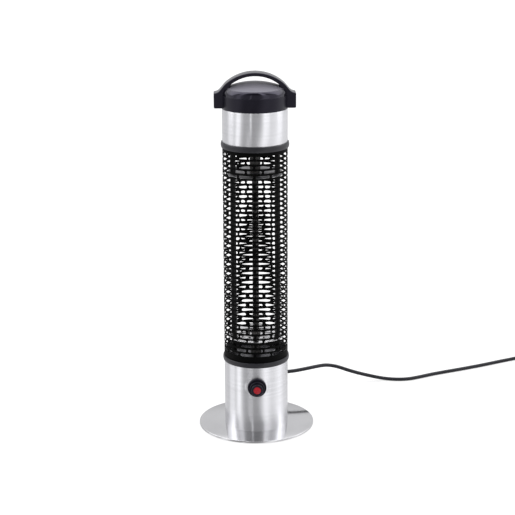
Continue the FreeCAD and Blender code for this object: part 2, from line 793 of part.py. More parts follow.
def make_switch():
    at = ("0", "0", "switch_height")
    blank = facing(turned("bezel_blank", [
        ("stem_hole", "barrel_end"), ("barrel_radius", "barrel_end"),
        ("barrel_radius", "tube_radius - 3"), ("bezel_radius", "tube_radius - 3"),
        ("bezel_radius", "bezel_face - bezel_edge"), ("bezel_radius - bezel_edge", "bezel_face"),
        ("collar_radius", "bezel_face"), ("collar_radius", "collar_face - 0.8"),
        ("collar_radius - 0.8", "collar_face"), ("barrel_bore", "collar_face"),
        ("barrel_bore", "barrel_floor"), ("stem_hole", "barrel_floor"),
    ], {4: ("bezel_edge", 1), 7: ("0.8", 1)}), OUTWARDS, at)
    saddle = wall_shell("bezel_saddle", "tube_radius - 6", "tube_radius + gasket",
                        "barrel_radius", "switch_height", FRONT)
    node(combine("Cut", "switch_bezel", blank, saddle))

    washer = combine("Cut", "gasket_washer",
                     rod("gasket_disc", "gasket_radius", "base_radius", at, FRONT),
                     rod("gasket_hole", "housing_hole", "base_radius", at, FRONT))
    band = combine("Cut", "gasket_band",
                   rod("gasket_outer", "tube_radius + gasket - 0.02", "lower_top"),
                   rod("gasket_inner", "tube_radius + 0.02", "lower_top"))
    node(combine("Common", "switch_gasket", washer, band))

    face = "button_face"
    node(facing(turned("switch_button", [
        ("0", "stem_end"), ("stem_radius", "stem_end"), ("stem_radius", "button_back"),
        ("button_radius", "button_back"), ("button_radius", f"{face} - button_edge"),
        ("button_radius - button_edge", face), ("lens_radius + 0.1", face),
        ("lens_radius + 0.1", f"{face} - lens_depth"), ("0", f"{face} - lens_depth"),
    ], {4: ("button_edge", 1)}), OUTWARDS, at))
    node(facing(turned("button_lens", [
        ("0", f"{face} - lens_depth"), ("lens_radius", f"{face} - lens_depth"),
        ("lens_radius", face), ("lens_flat", f"{face} + lens_proud"),
        ("0", f"{face} + lens_proud"),
    ], {2: ("lens_crown", 1)}), OUTWARDS, at))

    wire = number("spring_wire") / 2
    low = number("barrel_floor") + wire + 0.05
    length = number("button_back") - number("barrel_floor") - 2 * wire - 0.1
    radius = number("spring_radius")
    helix = Part.Wire(Part.makeHelix(length / number("spring_turns"), length, radius))
    corners = [Rotation(Vector(0, 1, 0), 60 * turn).multVec(UP * wire) for turn in range(7)]
    section = Part.makePolygon([corner + Vector(radius, 0, 0) for corner in corners])
    spring = helix.makePipeShell([section], True, True)
    spring.translate(UP * low)
    spring.rotate(ORIGIN, Vector(1, 0, 0), 90)
    spring.translate(UP * number("switch_height"))
    node(shaped("button_spring", spring))

    depth = "switch_nut_face - switch_nut_height"
    nut = hexagon(number("switch_nut_flats"), number("switch_nut_height"),
                  UP * number(depth), number("barrel_radius") + 0.05)
    nut.rotate(ORIGIN, Vector(1, 0, 0), 90)
    nut.translate(UP * number("switch_height"))
    node(shaped("switch_nut", nut))

    body = block("contact_box", ("block_width", "barrel_end - block_back - 0.1", "block_width"),
                 ("-block_width * 0.5", "-barrel_end + 0.1", "switch_height - block_width * 0.5"))
    bore = rod("contact_bore", "stem_hole", "9", ("0", "-stem_end + 5", "switch_height"), FRONT)
    node(combine("Cut", "contact_block", body, bore))
    blades = [Part.makeBox(0.8, number("blade_length"), 6.3,
                           Vector(x - 0.4, -number("block_back"), number("switch_height") + z))
              for x in (-6, 6) for z in (-8.4, 2.1)]
    node(shaped("contact_blades", Part.makeCompound(blades)))


# ---- tip-over switch and terminals ----------------------------------------------------------------

def make_safety():
    face, back = "chassis_face", "chassis_face + plate"
    seat = "base_top + plate"
    half, foot_half = "chassis_width * 0.5", "chassis_foot_width * 0.5"
    upright = padded("chassis_upright", [
        (f"-{half}", seat), (half, seat), (half, "chassis_top"), (f"-{half}", "chassis_top"),
    ], "plate", start=f"-{back}".replace(" + ", " - "))
    foot = block("chassis_foot_plate", ("chassis_foot_width", "chassis_foot - chassis_face",
                                        "plate"), (f"-{foot_half}", face, seat))
    joined = combine("Fuse", "chassis_joined", upright, foot)
    spots = [Vector(x, 46.5, number(seat)) for x in (-8, 8)]
    holes = shaped("chassis_drillings", Part.makeCompound(
        [Part.makeCylinder(2.2, 6, spot - UP * 2) for spot in spots]))
    node(combine("Cut", "chassis_plate", joined, holes))
    top = UP * number("plate")
    node(shaped("chassis_screws", Part.makeCompound([
        fuse([Part.makeCylinder(3.5, 2.2, spot + top), Part.makeCylinder(1.9, 3, spot - top)])
        for spot in spots])))

    behind = number(back)
    end = number("bracket_end")
    pivot = number("pivot_height")
    bracket = padded("bracket_blank", [
        (back, "sensor_top + 2"), (f"{back} + plate", "sensor_top + 2"),
        (f"{back} + plate", "chassis_top - plate"), ("bracket_end - plate", "chassis_top - plate"),
        ("bracket_end - plate", "pivot_height - 6"), ("bracket_end", "pivot_height - 6"),
        ("bracket_end", "chassis_top"), (back, "chassis_top"),
    ], "bracket_width", role="YZ_Plane")
    eye = rod("bracket_eyes", "pivot_radius", "base_radius", ("0", "0", "pivot_height"), REAR)
    node(combine("Cut", "tilt_bracket", bracket, eye))
    node(shaped("tilt_pin", Part.makeCylinder(
        number("pivot_radius"), end - behind, Vector(0, behind, pivot), REAR)))

    start, length = number("bob_start"), number("bob_length")
    bob_height = number("bob_height")
    middle = Vector(0, start + length / 2, bob_height)
    hub = Part.makeCylinder(4, length, Vector(0, start, pivot), REAR)
    bob = Part.makeCylinder(number("bob_radius"), length, Vector(0, start, bob_height), REAR)
    arm = Part.makeCylinder(1.8, pivot - bob_height, middle)
    hole = Part.makeCylinder(number("pivot_radius + pivot_clearance"), length * 3,
                             Vector(0, start - length, pivot), REAR)
    node(shaped("tilt_pendulum", fuse([hub, bob, arm]).cut(hole)))
    node(block("tilt_sensor", ("16", "bob_start + bob_length - chassis_face - plate",
                               "sensor_top - sensor_bottom"), ("-8", back, "sensor_bottom")))

    body = Part.makeBox(number("block_span"), number("block_depth"), number("block_height"),
                        Vector(-number("block_span") / 2, behind, number("block_bottom")))
    wells = [Part.makeCylinder(2.3, 3, Vector(x, behind + number("block_depth"),
                                              number("block_bottom") + z), FRONT)
             for x in (-15, -5, 5, 15) for z in (4.5, 11.5)]
    node(shaped("terminal_block", body.cut(wells)))


# ---- cords --------------------------------------------------------------------------------------

def rounded_path(points):
    """Wire of straight runs joined by tangent arcs, each as large as its two runs allow."""
    points = [Vector(*point) for point in points]
    edges, radii = [], []
    start = points[0]
    for before, corner, after in zip(points, points[1:], points[2:]):
        back = (before - corner).normalize()
        ahead = (after - corner).normalize()
        trim = 0.45 * min((before - corner).Length, (after - corner).Length)
        half_turn = (math.pi - back.getAngle(ahead)) / 2
        radius = trim / math.tan(half_turn)
        middle = (back + ahead).normalize()
        deep = radius / math.cos(half_turn) - radius
        first, last = corner + back * trim, corner + ahead * trim
        edges.append(Part.LineSegment(start, first).toShape())
        edges.append(Part.Arc(first, corner + middle * deep, last).toShape())
        radii.append(radius)
        start = last
    edges.append(Part.LineSegment(start, points[-1]).toShape())
    return Part.Wire(edges), radii


def tube_along(points, diameter, label):
    path, radii = rounded_path(points)
    heading = Vector(*points[1]) - Vector(*points[0])
    section = Part.Wire(Part.makeCircle(diameter / 2, Vector(*points[0]), heading))
    tube = path.makePipeShell([section], True, False)
    ideal = math.pi * (diameter / 2) ** 2 * path.Length
    if abs(tube.Volume / ideal - 1) > 0.01 or min(radii) < diameter:
        raise ValueError(f"{label}: volume ratio {tube.Volume / ideal:.4f}")
    print(f"{label}: length {path.Length:.1f}, smallest radius {min(radii):.1f},",
          f"volume ratio {tube.Volume / ideal:.4f}")
    return tube, radii


def make_cord():
    at = ("0", "0", "exit_height")
    blank = facing(turned("relief_blank", [
        ("0", "relief_inner"), ("relief_flange_radius - 1", "relief_inner"),
        ("relief_flange_radius", "relief_flange - 1.5"), ("relief_flange_radius - 1.5",
                                                          "relief_flange"),
        ("relief_thick", "relief_flange"), ("relief_thin", "relief_tip"), ("0", "relief_tip"),
    ], {2: ("1.5", 1)}), BACKWARDS, at)
    wall = wall_shell("relief_groove", "tube_radius - tube_wall - 0.02", "tube_radius + 0.02",
                      "relief_neck", "exit_height", REAR)
    node(combine("Cut", "strain_relief", blank, wall))

    diameter = number("cord_diameter")
    cord, radii = tube_along(CORD_ROUTE, diameter, "mains_cord")
    print("mains_cord radii:", " ".join(f"{radius:.0f}" for radius in radii))
    node(shaped("mains_cord", cord))
    tail, radii = tube_along(TAIL_ROUTE, diameter, "cord_tail")
    print("cord_tail radii:", " ".join(f"{radius:.0f}" for radius in radii))
    node(shaped("cord_tail", tail))

    coil = facing(turned("cord_coil", [
        ("coil_inner", "coil_base"), ("coil_outer - coil_round", "coil_base"),
        ("coil_outer", "coil_base + coil_round"), ("coil_outer", "coil_top - coil_round"),
        ("coil_outer - coil_round", "coil_top"), ("coil_inner", "coil_top"),
    ], {1: ("coil_round", 1), 3: ("coil_round", 1)}), Rotation(), ("coil_x", "coil_y", "0"))
    node(coil)
    strap = block("tie_block", ("coil_outer - coil_inner + tie + tie", "tie_width",
                                "coil_top + tie"),
                  ("coil_x - coil_outer - tie", "coil_y - tie_width * 0.5", "0"))
    held = facing(turned("tie_opening", [
        ("coil_inner", "coil_base"), ("coil_outer", "coil_base"), ("coil_outer", "coil_top"),
        ("coil_inner", "coil_top"),
    ]), Rotation(), ("coil_x", "coil_y", "0"))
    node(combine("Cut", "coil_tie", strap, held))


def make_plug():
    at = ("plug_x", "plug_y", "plug_radius")
    moulding = facing(turned("plug_moulding", [
        ("0", "0"), ("plug_neck", "0"), ("plug_shoulder", "plug_boot"),
        ("plug_radius - 3", "plug_boot + 2"), ("plug_radius", "plug_boot + 6"),
        ("plug_radius", "plug_length - 2"), ("plug_radius - 2", "plug_length"),
        ("0", "plug_length"),
    ], {3: ("5.5", 1), 5: ("2", 1)}), OUTWARDS, at)
    face = Vector(number("plug_x"), number("plug_y") - number("plug_length"),
                  number("plug_radius"))
    pins = []
    for side in (-1, 1):
        foot = face + Vector(side * number("pin_spread"), 0, 0)
        shaft = Part.makeCylinder(number("pin_radius"), number("pin_length") - 2, foot, FRONT)
        tip = Part.makeSphere(number("pin_radius"), foot + FRONT * (number("pin_length") - 2.4))
        pins.append(fuse([shaft, tip]))
    node(shaped("plug_pins", Part.makeCompound(pins)))
    radius = number("plug_radius")
    clips = [Part.makeBox(8, 22, 1.2, Vector(face.x - 4, face.y - 0.5, face.z + lift))
             for lift in (radius - 2.8, -radius + 1.6)]
    slots = shaped("earth_clip_slots", Part.makeCompound(clips))
    node(combine("Cut", "plug_body", moulding, slots))
    node(shaped("plug_earth_clips", Part.makeCompound(clips)))


def make_leads():
    tubes = [tube_along(route, LEAD_DIAMETER, f"lead {index}")[0]
             for index, route in enumerate(LEADS)]
    node(shaped("internal_leads", Part.makeCompound(tubes)))


make_base()
make_housings()
make_guard()
plates = make_inner_frame()
make_lamp(*plates)
make_cap()
make_handle()
make_switch()
make_safety()
make_cord()
make_plug()
make_leads()
doc.recompute()

for item in doc.Objects:
    if "Invalid" in item.State or "Error" in item.State:
        raise ValueError(f"{item.Label} could not be built: {item.State}")
for item in nodes:
    if item.Shape.isNull() or not item.Shape.isValid():
        raise ValueError(f"{item.Label} has no valid shape")
os.makedirs("parts", exist_ok=True)
for item in nodes:
    item.Shape.exportStep(f"parts/{item.Label}.step")
    print(f"{item.Label}: {len(item.Shape.Solids)} solid(s), {item.Shape.Volume:.0f} mm3")
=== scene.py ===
import json
import math

import bmesh
import bpy
from mathutils import Matrix, Vector


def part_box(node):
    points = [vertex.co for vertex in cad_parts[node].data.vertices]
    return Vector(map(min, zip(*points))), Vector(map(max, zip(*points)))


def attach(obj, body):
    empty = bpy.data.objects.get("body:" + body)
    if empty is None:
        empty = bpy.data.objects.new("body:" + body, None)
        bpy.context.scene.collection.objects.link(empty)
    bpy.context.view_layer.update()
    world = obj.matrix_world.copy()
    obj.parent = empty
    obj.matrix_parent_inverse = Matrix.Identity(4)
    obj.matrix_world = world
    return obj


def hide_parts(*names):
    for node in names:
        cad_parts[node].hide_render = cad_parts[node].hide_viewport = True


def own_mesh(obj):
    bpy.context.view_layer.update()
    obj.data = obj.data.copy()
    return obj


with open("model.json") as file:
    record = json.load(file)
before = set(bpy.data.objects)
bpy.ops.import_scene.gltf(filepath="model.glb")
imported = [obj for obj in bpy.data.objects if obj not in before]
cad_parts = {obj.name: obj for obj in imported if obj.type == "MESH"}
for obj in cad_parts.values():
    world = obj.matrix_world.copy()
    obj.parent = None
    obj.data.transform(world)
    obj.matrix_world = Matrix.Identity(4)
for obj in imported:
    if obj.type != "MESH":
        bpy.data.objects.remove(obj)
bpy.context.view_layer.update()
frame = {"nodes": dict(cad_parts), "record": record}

NODES = frame["nodes"]
MM = 0.001
FULL_TURN = 2 * math.pi
ON_AXIS = 1e-7           # a radius below this is a single point


# ---- places read from the frame ---------------------------------------------------------------

def low(node):
    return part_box(node)[0].z


def high(node):
    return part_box(node)[1].z


def radius(node):
    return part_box(node)[1].x


TUBE = radius("upper_housing")
TUBE_SEGMENTS = 360
WALL = 0.8 * MM
SWITCH_HEIGHT = (low("switch_bezel") + high("switch_bezel")) / 2
EXIT_HEIGHT = (low("strain_relief") + high("strain_relief")) / 2
FRONT_AXIS = Matrix.Translation((0, 0, SWITCH_HEIGHT)) @ Matrix.Rotation(math.radians(90), 4, "X")
REAR_AXIS = Matrix.Translation((0, 0, EXIT_HEIGHT)) @ Matrix.Rotation(math.radians(-90), 4, "X")


# ---- camera -------------------------------------------------------------------------------------

CAMERA_TURN = 1.4        # degrees that the heater is turned from the camera, anticlockwise
CAMERA_TILT = 15.99      # degrees below level
CAMERA_ROLL = -0.29      # degrees
CAMERA_PLACE = (0.0034, -2.637, 1.0713)
LENS = 107.13            # mm, over a sensor 36 mm wide


def make_camera():
    """A long lens 2.6 m in front of the heater, a little above it and looking 16 degrees down."""
    turn, tilt, roll = (math.radians(value) for value in (-CAMERA_TURN, CAMERA_TILT, CAMERA_ROLL))
    data = bpy.data.cameras.new("camera")
    data.lens = LENS
    data.sensor_width = 36
    data.clip_start, data.clip_end = 0.05, 60
    camera = bpy.data.objects.new("camera", data)
    bpy.context.scene.collection.objects.link(camera)
    orbit = Matrix.Rotation(turn, 4, "Z")
    aim = Matrix.Rotation(math.pi / 2 - tilt, 4, "X") @ Matrix.Rotation(roll, 4, "Z")
    camera.matrix_world = orbit @ Matrix.Translation(CAMERA_PLACE) @ aim
    bpy.context.scene.camera = camera


# ---- mains lead ---------------------------------------------------------------------------------

CORD = 7 * MM
# Control points of the lead, from the strain relief's tip to the outside of the coil.
CORD_ROUTE = [
    (0, 0.092, 0.044),
    (0.0008, 0.104, 0.044),
    (0.006, 0.120, 0.044),
    (0.018, 0.1333, 0.044),
    (0.040, 0.141, 0.044),
    (0.072, 0.147, 0.044),
    (0.0966, 0.1572, 0.0446),
    (0.1212, 0.172, 0.0443),
    (0.1409, 0.1855, 0.0425),
    (0.1617, 0.1921, 0.037),
    (0.1847, 0.1932, 0.028),
    (0.2095, 0.1984, 0.0185),
    (0.2344, 0.2051, 0.010),
    (0.2573, 0.2078, 0.004),
    (0.2825, 0.2025, 0.0035),
    (0.3064, 0.2041, 0.0035),
    (0.3311, 0.2158, 0.0035),
    (0.3567, 0.230, 0.0035),
    (0.3834, 0.2418, 0.0035),
    (0.421, 0.2579, 0.0035),
    (0.4605, 0.276, 0.0035),
    (0.4989, 0.296, 0.0035),
    (0.5374, 0.3151, 0.0035),
    (0.563, 0.3265, 0.004),
]
# From the coil's outermost upper turn to the neck of the plug.
TAIL_ROUTE = [
    (0.6478, 0.279, 0.0122),
    (0.6476, 0.266, 0.0158),
    (0.6477, 0.2545, 0.0185),
    (0.6477, 0.245, 0.0185),
]
COIL_CENTRE = (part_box("cord_coil")[0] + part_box("cord_coil")[1]) / 2
COIL_STEPS = 16
COIL_TURNS = 4.3125
COIL_START = math.radians(112.5)


def coil_points():
    """Turns wound inwards on the floor, then outwards on top, a lead's thickness apart."""
    outer, inner = 46.7 * MM, 30.9 * MM
    climb, climbed = 2.2, 2.5
    floor_layer, top_layer = 4.3 * MM, 11.4 * MM
    corner = math.cos(math.pi / COIL_STEPS)
    for step in range(round(COIL_TURNS * COIL_STEPS) + 1):
        turns = step / COIL_STEPS
        if turns <= climbed:
            reach = max(outer - CORD * turns, inner)
        else:
            reach = inner + CORD * (turns - climbed)
        share = min(max((turns - climb) / (climbed - climb), 0), 1)
        share = share * share * (3 - 2 * share)
        angle = COIL_START - turns * FULL_TURN
        yield (COIL_CENTRE.x + reach / corner * math.cos(angle),
               COIL_CENTRE.y + reach / corner * math.sin(angle),
               floor_layer + (top_layer - floor_layer) * share)


def make_cord():
    """One curve for the whole lead, through its route, its coil and its free end."""
    points = [*CORD_ROUTE, *coil_points(), *TAIL_ROUTE]
    data = bpy.data.curves.new("mains_lead", "CURVE")
    data.dimensions = "3D"
    data.bevel_depth = 1
    data.bevel_resolution = 6
    data.resolution_u = 8
    data.use_fill_caps = True
    spline = data.splines.new("NURBS")
    spline.points.add(len(points) - 1)
    for point, place in zip(spline.points, points):
        point.co = (*place, 1)
        point.radius = CORD / 2
    spline.order_u = 3
    spline.use_endpoint_u = True
    lead = bpy.data.objects.new("mains_lead", data)
    bpy.context.scene.collection.objects.link(lead)
    finish_piece(lead, "root", "cord_black", ["mains_cord", "cord_coil", "cord_tail"])
    return lead


# ---- mesh helpers ---------------------------------------------------------------------------------

def finish_piece(piece, body, slot, replaced):
    """Puts a piece on its body in its material, in place of the CAD nodes that it shows."""
    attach(piece, body)
    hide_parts(*replaced)
    paint(piece, slot)


def paint(piece, slot):
    piece.data.materials.clear()
    piece.data.materials.append(MATERIALS[slot])


def mesh_piece(name, bm, matrix=None, sharp=30):
    """A linked object from a bmesh, smooth except at edges sharper than an angle."""
    bmesh.ops.recalc_face_normals(bm, faces=bm.faces)
    mesh = bpy.data.meshes.new(name)
    bm.to_mesh(mesh)
    bm.free()
    if matrix is not None:
        mesh.transform(matrix)
    mesh.shade_smooth()
    mesh.set_sharp_from_angle(angle=math.radians(sharp))
    piece = bpy.data.objects.new(name, mesh)
    bpy.context.scene.collection.objects.link(piece)
    return piece


def bridge(bm, one, two):
    """Joins two closed rings of as many points with a band of faces."""
    for a in range(len(one)):
        b = (a + 1) % len(one)
        bm.faces.new((one[a], one[b], two[b], two[a]))


def in_mm(*corners):
    return [tuple(value * MM for value in corner) for corner in corners]


def turned(spoke, angle):
    """A flat vector turned clockwise."""
    return Vector((spoke.x * math.cos(angle) + spoke.y * math.sin(angle),
                   spoke.y * math.cos(angle) - spoke.x * math.sin(angle)))


def rounded(corners, steps=4):
    """Outline points from (x, y, radius) corners, each corner turned into an arc."""
    made = []
    count = len(corners)
    for index, (x, y, r) in enumerate(corners):
        here = Vector((x, y))
        if r <= 0:
            made.append(here)
            continue
        back = (Vector(corners[index - 1][:2]) - here).normalized()
        ahead = (Vector(corners[(index + 1) % count][:2]) - here).normalized()
        half = back.angle(ahead) / 2
        trim = r / math.tan(half)
        centre = here + (back + ahead).normalized() * (r / math.sin(half))
        first, last = here + back * trim - centre, here + ahead * trim - centre
        sweep = first.angle_signed(last)
        made += [centre + turned(first, sweep * step / steps) for step in range(steps + 1)]
    return made


def arc(start, end, r, side, steps):
    """Points strictly between two ends of an arc that bulges to one side of its chord."""
    start, end = Vector(start), Vector(end)
    chord = end - start
    middle = (start + end) / 2
    sideways = Vector((chord.y, -chord.x)).normalized() * side
    centre = middle - sideways * math.sqrt(r * r - chord.length_squared / 4)
    first, last = start - centre, end - centre
    sweep = first.angle_signed(last)
    return [centre + turned(first, sweep * step / steps) for step in range(1, steps)]


def curved(corners, arcs):
    """Outline corners with arcs after some of them, as index: (radius, side, steps)."""
    made = []
    for index, corner in enumerate(corners):
        made.append(corner)
        if index in arcs:
            made += arc(corner, corners[index + 1], *arcs[index])
    return made


def lathe_into(bm, outline, segments=192, shape=None, matrix=None):
    """Spins a closed outline of (radius, height) points about Z; points at radius 0 meet."""
    rings = []
    made = []
    for r, z in outline:
        if r < ON_AXIS:
            made.append(bm.verts.new((0, 0, z)))
            rings.append([made[-1]] * segments)
            continue
        ring = []
        for index in range(segments):
            angle = FULL_TURN * index / segments
            reach = shape(angle, r, z) if shape else r
            ring.append(bm.verts.new((reach * math.cos(angle), reach * math.sin(angle), z)))
        made += ring
        rings.append(ring)
    for index, ring in enumerate(rings):
        after = rings[(index + 1) % len(rings)]
        if ring[0] is ring[1] and after[0] is after[1]:
            continue
        for step in range(segments):
            corners = [ring[step], ring[(step + 1) % segments],
                       after[(step + 1) % segments], after[step]]
            corners = list(dict.fromkeys(corners))
            if len(corners) > 2:
                bm.faces.new(corners)
    if matrix is not None:
        bmesh.ops.transform(bm, matrix=matrix, verts=made)


def lathe(name, outline, segments=192, shape=None, matrix=None, sharp=30):
    bm = bmesh.new()
    lathe_into(bm, outline, segments, shape)
    return mesh_piece(name, bm, matrix, sharp)


def carve(piece, cutter, sharp=30):
    """Cuts one object's mesh away from another's and removes the cutter."""
    modifier = piece.modifiers.new("cut", "BOOLEAN")
    modifier.operation = "DIFFERENCE"
    modifier.solver = "EXACT"
    modifier.object = cutter
    apply_modifiers(piece)
    piece.data.shade_smooth()
    piece.data.set_sharp_from_angle(angle=math.radians(sharp))
    bpy.data.objects.remove(cutter)


def apply_modifiers(piece):
    bpy.context.view_layer.update()
    graph = bpy.context.evaluated_depsgraph_get()
    mesh = bpy.data.meshes.new_from_object(piece.evaluated_get(graph))
    piece.modifiers.clear()
    piece.data = mesh


def rod_cutter(r, start, end, matrix):
    """A cylinder from start to end along its own axis."""
    return lathe("cutter", [(0, start), (r, start), (r, end), (0, end)], 64, matrix=matrix)


def block_cutter(x, other_x, half_y, bottom, top):
    bm = bmesh.new()
    bmesh.ops.create_cube(bm, size=1)
    size = (abs(other_x - x), 2 * half_y, top - bottom)
    bmesh.ops.scale(bm, vec=size, verts=bm.verts)
    bmesh.ops.translate(bm, vec=((x + other_x) / 2, 0, (bottom + top) / 2), verts=bm.verts)
    return mesh_piece("cutter", bm)


# ---- materials ------------------------------------------------------------------------------------

class Shader:
    """A principled material with short calls for its procedural detail."""

    def __init__(self, name, **constants):
        self.material = bpy.data.materials.new(name)
        self.material.use_nodes = True
        self.nodes = self.material.node_tree.nodes
        self.links = self.material.node_tree.links
        self.shader = self.nodes["Principled BSDF"]
        self.place = self.add("ShaderNodeTexCoord").outputs["Object"]
        for socket, value in constants.items():
            self.shader.inputs[socket.replace("_", " ")].default_value = value

    def add(self, kind, **settings):
        made = self.nodes.new(kind)
        for key, value in settings.items():
            setattr(made, key, value)
        return made

    def feed(self, node, **inputs):
        for key, value in inputs.items():
            socket = node.inputs[key.replace("_", " ")]
            if isinstance(value, bpy.types.NodeSocket):
                self.links.new(value, socket)
            else:
                socket.default_value = value

    def stretched(self, scale):
        mapping = self.add("ShaderNodeMapping")
        self.feed(mapping, Vector=self.place, Scale=scale)
        return mapping.outputs["Vector"]

    def noise(self, scale, detail=3.0, roughness=0.5, place=None):
        """Noise over the object's own place, or over a stretched one."""
        node = self.add("ShaderNodeTexNoise")
        self.feed(node, Vector=place or self.place, Scale=scale, Detail=detail,
                  Roughness=roughness)
        return node.outputs["Fac"]

    def spread(self, source, low_value, high_value, start=0.3, end=0.7):
        """Maps a value between start and end onto a range, clamped at both ends."""
        node = self.add("ShaderNodeMapRange")
        for index, value in enumerate((start, end, low_value, high_value), start=1):
            node.inputs[index].default_value = value
        self.links.new(source, node.inputs[0])
        return node.outputs[0]

    def colours(self, source, first, second, start=0.3, end=0.7):
        """Blends the base colour from first to second as the source goes from start to end."""
        ramp = self.add("ShaderNodeValToRGB")
        ramp.color_ramp.elements[0].position = start
        ramp.color_ramp.elements[0].color = (*first, 1)
        ramp.color_ramp.elements[1].position = end
        ramp.color_ramp.elements[1].color = (*second, 1)
        self.links.new(source, ramp.inputs[0])
        self.links.new(ramp.outputs[0], self.shader.inputs["Base Color"])

    def roughness(self, source, smooth, rough):
        self.links.new(self.spread(source, smooth, rough), self.shader.inputs["Roughness"])

    def relief(self, *layers):
        """Chains bumps given as (height source, depth in metres)."""
        normal = None
        for height, depth in layers:
            bump = self.add("ShaderNodeBump")
            self.feed(bump, Height=height, Distance=depth, Strength=1.0)
            if normal:
                self.links.new(normal, bump.inputs["Normal"])
            normal = bump.outputs["Normal"]
        self.links.new(normal, self.shader.inputs["Normal"])


def darker(tone, share):
    return tuple(value * share for value in tone)


def brushed(name, tone, smooth, rough):
    """Stainless sheet with fine brush lines round the tower."""
    shader = Shader(name, Metallic=1.0, Anisotropic=0.93, Anisotropic_Rotation=0.25)
    fine = shader.noise(1.0, 4.0, 0.6, shader.stretched((18, 18, 4500)))
    broad = shader.noise(1.0, 2.0, 0.5, shader.stretched((9, 9, 420)))
    cloud = shader.noise(14.0)
    tangent = shader.add("ShaderNodeTangent", direction_type="RADIAL", axis="Z")
    shader.links.new(tangent.outputs[0], shader.shader.inputs["Tangent"])
    shader.colours(broad, darker(tone, 0.93), tone)
    shader.roughness(cloud, smooth, rough)
    shader.relief((fine, 0.6e-6))
    return shader.material


def plate_steel(name, tone, smooth, rough):
    """Flat steel with straight grain along X."""
    shader = Shader(name, Metallic=1.0)
    grain = shader.noise(1.0, 4.0, 0.6, shader.stretched((25, 3500, 900)))
    cloud = shader.noise(18.0)
    shader.colours(cloud, darker(tone, 0.94), tone)
    shader.roughness(cloud, smooth, rough)
    shader.relief((grain, 0.5e-6))
    return shader.material


def moulded(name, tone, second, smooth, rough, grain=2600.0, depth=6e-6, **constants):
    """Moulded plastic or rubber: fine texture, slight patchiness in tone and gloss."""
    shader = Shader(name, **constants)
    cloud = shader.noise(35.0)
    fine = shader.noise(grain, 2.0)
    shader.colours(cloud, tone, second)
    shader.roughness(cloud, smooth, rough)
    shader.relief((fine, depth))
    return shader.material


def grey(value, warm=0.0):
    return (value * (1 + warm), value, value * (1 - warm))


# Tint of the black mouldings' highlights.
BLUISH = (0.82, 0.78, 1.0, 1)
DEEP_BLACK = (0.0022, 0.002, 0.004)
SOFT_BLACK = (0.003, 0.0028, 0.0055)


def cap_moulding():
    """Gloss black moulding, satin on faces that point up, where its colour is painted paler: a painted
    reflection of the bright ceiling.
    """
    shader = Shader("cap_gloss", IOR=1.5, Specular_Tint=BLUISH)
    facing = shader.add("ShaderNodeSeparateXYZ")
    geometry = shader.add("ShaderNodeNewGeometry")
    shader.links.new(geometry.outputs["Normal"], facing.inputs[0])
    # Faces that point up get a paler colour, a painted reflection of the ceiling, and a rougher satin
    # finish.
    upward_painted_sheen = shader.spread(facing.outputs["Z"], 0.0, 1.0, start=0.8, end=0.88)
    shader.colours(upward_painted_sheen, (0.0024, 0.0022, 0.0042), (0.088, 0.086, 0.098), start=0.0, end=1.0)
    shader.roughness(upward_painted_sheen, 0.06, 0.4)
    shader.relief((shader.noise(900.0, 2.0), 3e-6))
    return shader.material


def make_materials():
    """Every slot's material, by the slot's name."""
    return {
        "brushed_steel": brushed("brushed_steel", (0.70, 0.70, 0.72), 0.22, 0.27),
        "base_steel": plate_steel("base_steel", (0.56, 0.56, 0.57), 0.08, 0.12),
        "zinc_steel": plate_steel("zinc_steel", (0.24, 0.24, 0.255), 0.32, 0.42),
        "disc_steel": plate_steel("disc_steel", (0.33, 0.33, 0.34), 0.35, 0.45),
        "reflector": plate_steel("reflector", (0.85, 0.85, 0.86), 0.08, 0.14),
        "screw_steel": plate_steel("screw_steel", (0.45, 0.45, 0.46), 0.25, 0.38),
        "nickel": plate_steel("nickel", (0.72, 0.70, 0.66), 0.14, 0.22),
        "brass": plate_steel("brass", (0.72, 0.52, 0.22), 0.2, 0.3),
        "pendulum_metal": plate_steel("pendulum_metal", (0.68, 0.5, 0.22), 0.22, 0.32),
        "filament": moulded("filament", grey(0.02), grey(0.03), 0.5, 0.7),
        "ballast_iron": moulded("ballast_iron", grey(0.012), grey(0.02), 0.45, 0.6, 900, 25e-6),
        "trim_grey": moulded("trim_grey", (0.007, 0.0068, 0.010), (0.010, 0.0098, 0.014),
                             0.36, 0.44, Specular_IOR_Level=0.4),
        "guard_black": moulded("guard_black", grey(0.0004), grey(0.0009), 0.55, 0.65, 1800, 8e-6,
                               Specular_IOR_Level=0.05),
        "post_black": moulded("post_black", grey(0.004), grey(0.007), 0.3, 0.4,
                              Specular_IOR_Level=0.3),
        "ceramic": moulded("ceramic", grey(0.05, 0.05), grey(0.07, 0.05), 0.5, 0.65, 900, 12e-6),
        "cap_satin": moulded("cap_satin", DEEP_BLACK, SOFT_BLACK, 0.3, 0.38,
                             Specular_IOR_Level=0.28, Specular_Tint=BLUISH),
        "cap_gloss": cap_moulding(),
        "handle_black": moulded("handle_black", DEEP_BLACK, SOFT_BLACK, 0.16, 0.22,
                                Specular_IOR_Level=0.45, Specular_Tint=BLUISH),
        "switch_black": moulded("switch_black", (0.003, 0.0028, 0.005), (0.004, 0.0038, 0.0065),
                                0.3, 0.38, Specular_IOR_Level=0.3, Specular_Tint=BLUISH),
        "rubber_black": moulded("rubber_black", grey(0.01), grey(0.016), 0.5, 0.62, 1400, 12e-6),
        "cord_black": moulded("cord_black", (0.010, 0.010, 0.013), (0.015, 0.015, 0.019),
                              0.45, 0.52, 1800, 10e-6, Specular_IOR_Level=0.2),
        "terminal_white": moulded("terminal_white", (0.7, 0.69, 0.64), (0.76, 0.75, 0.7),
                                  0.35, 0.45),
        "sensor_black": moulded("sensor_black", grey(0.01), grey(0.015), 0.3, 0.4),
        "lead_insulation": moulded("lead_insulation", (0.2, 0.05, 0.02), (0.26, 0.07, 0.03),
                                   0.4, 0.5),
        "lens_red": lens_material(),
        "quartz": quartz_material(),
        "tie_black": strap_material(),
    }


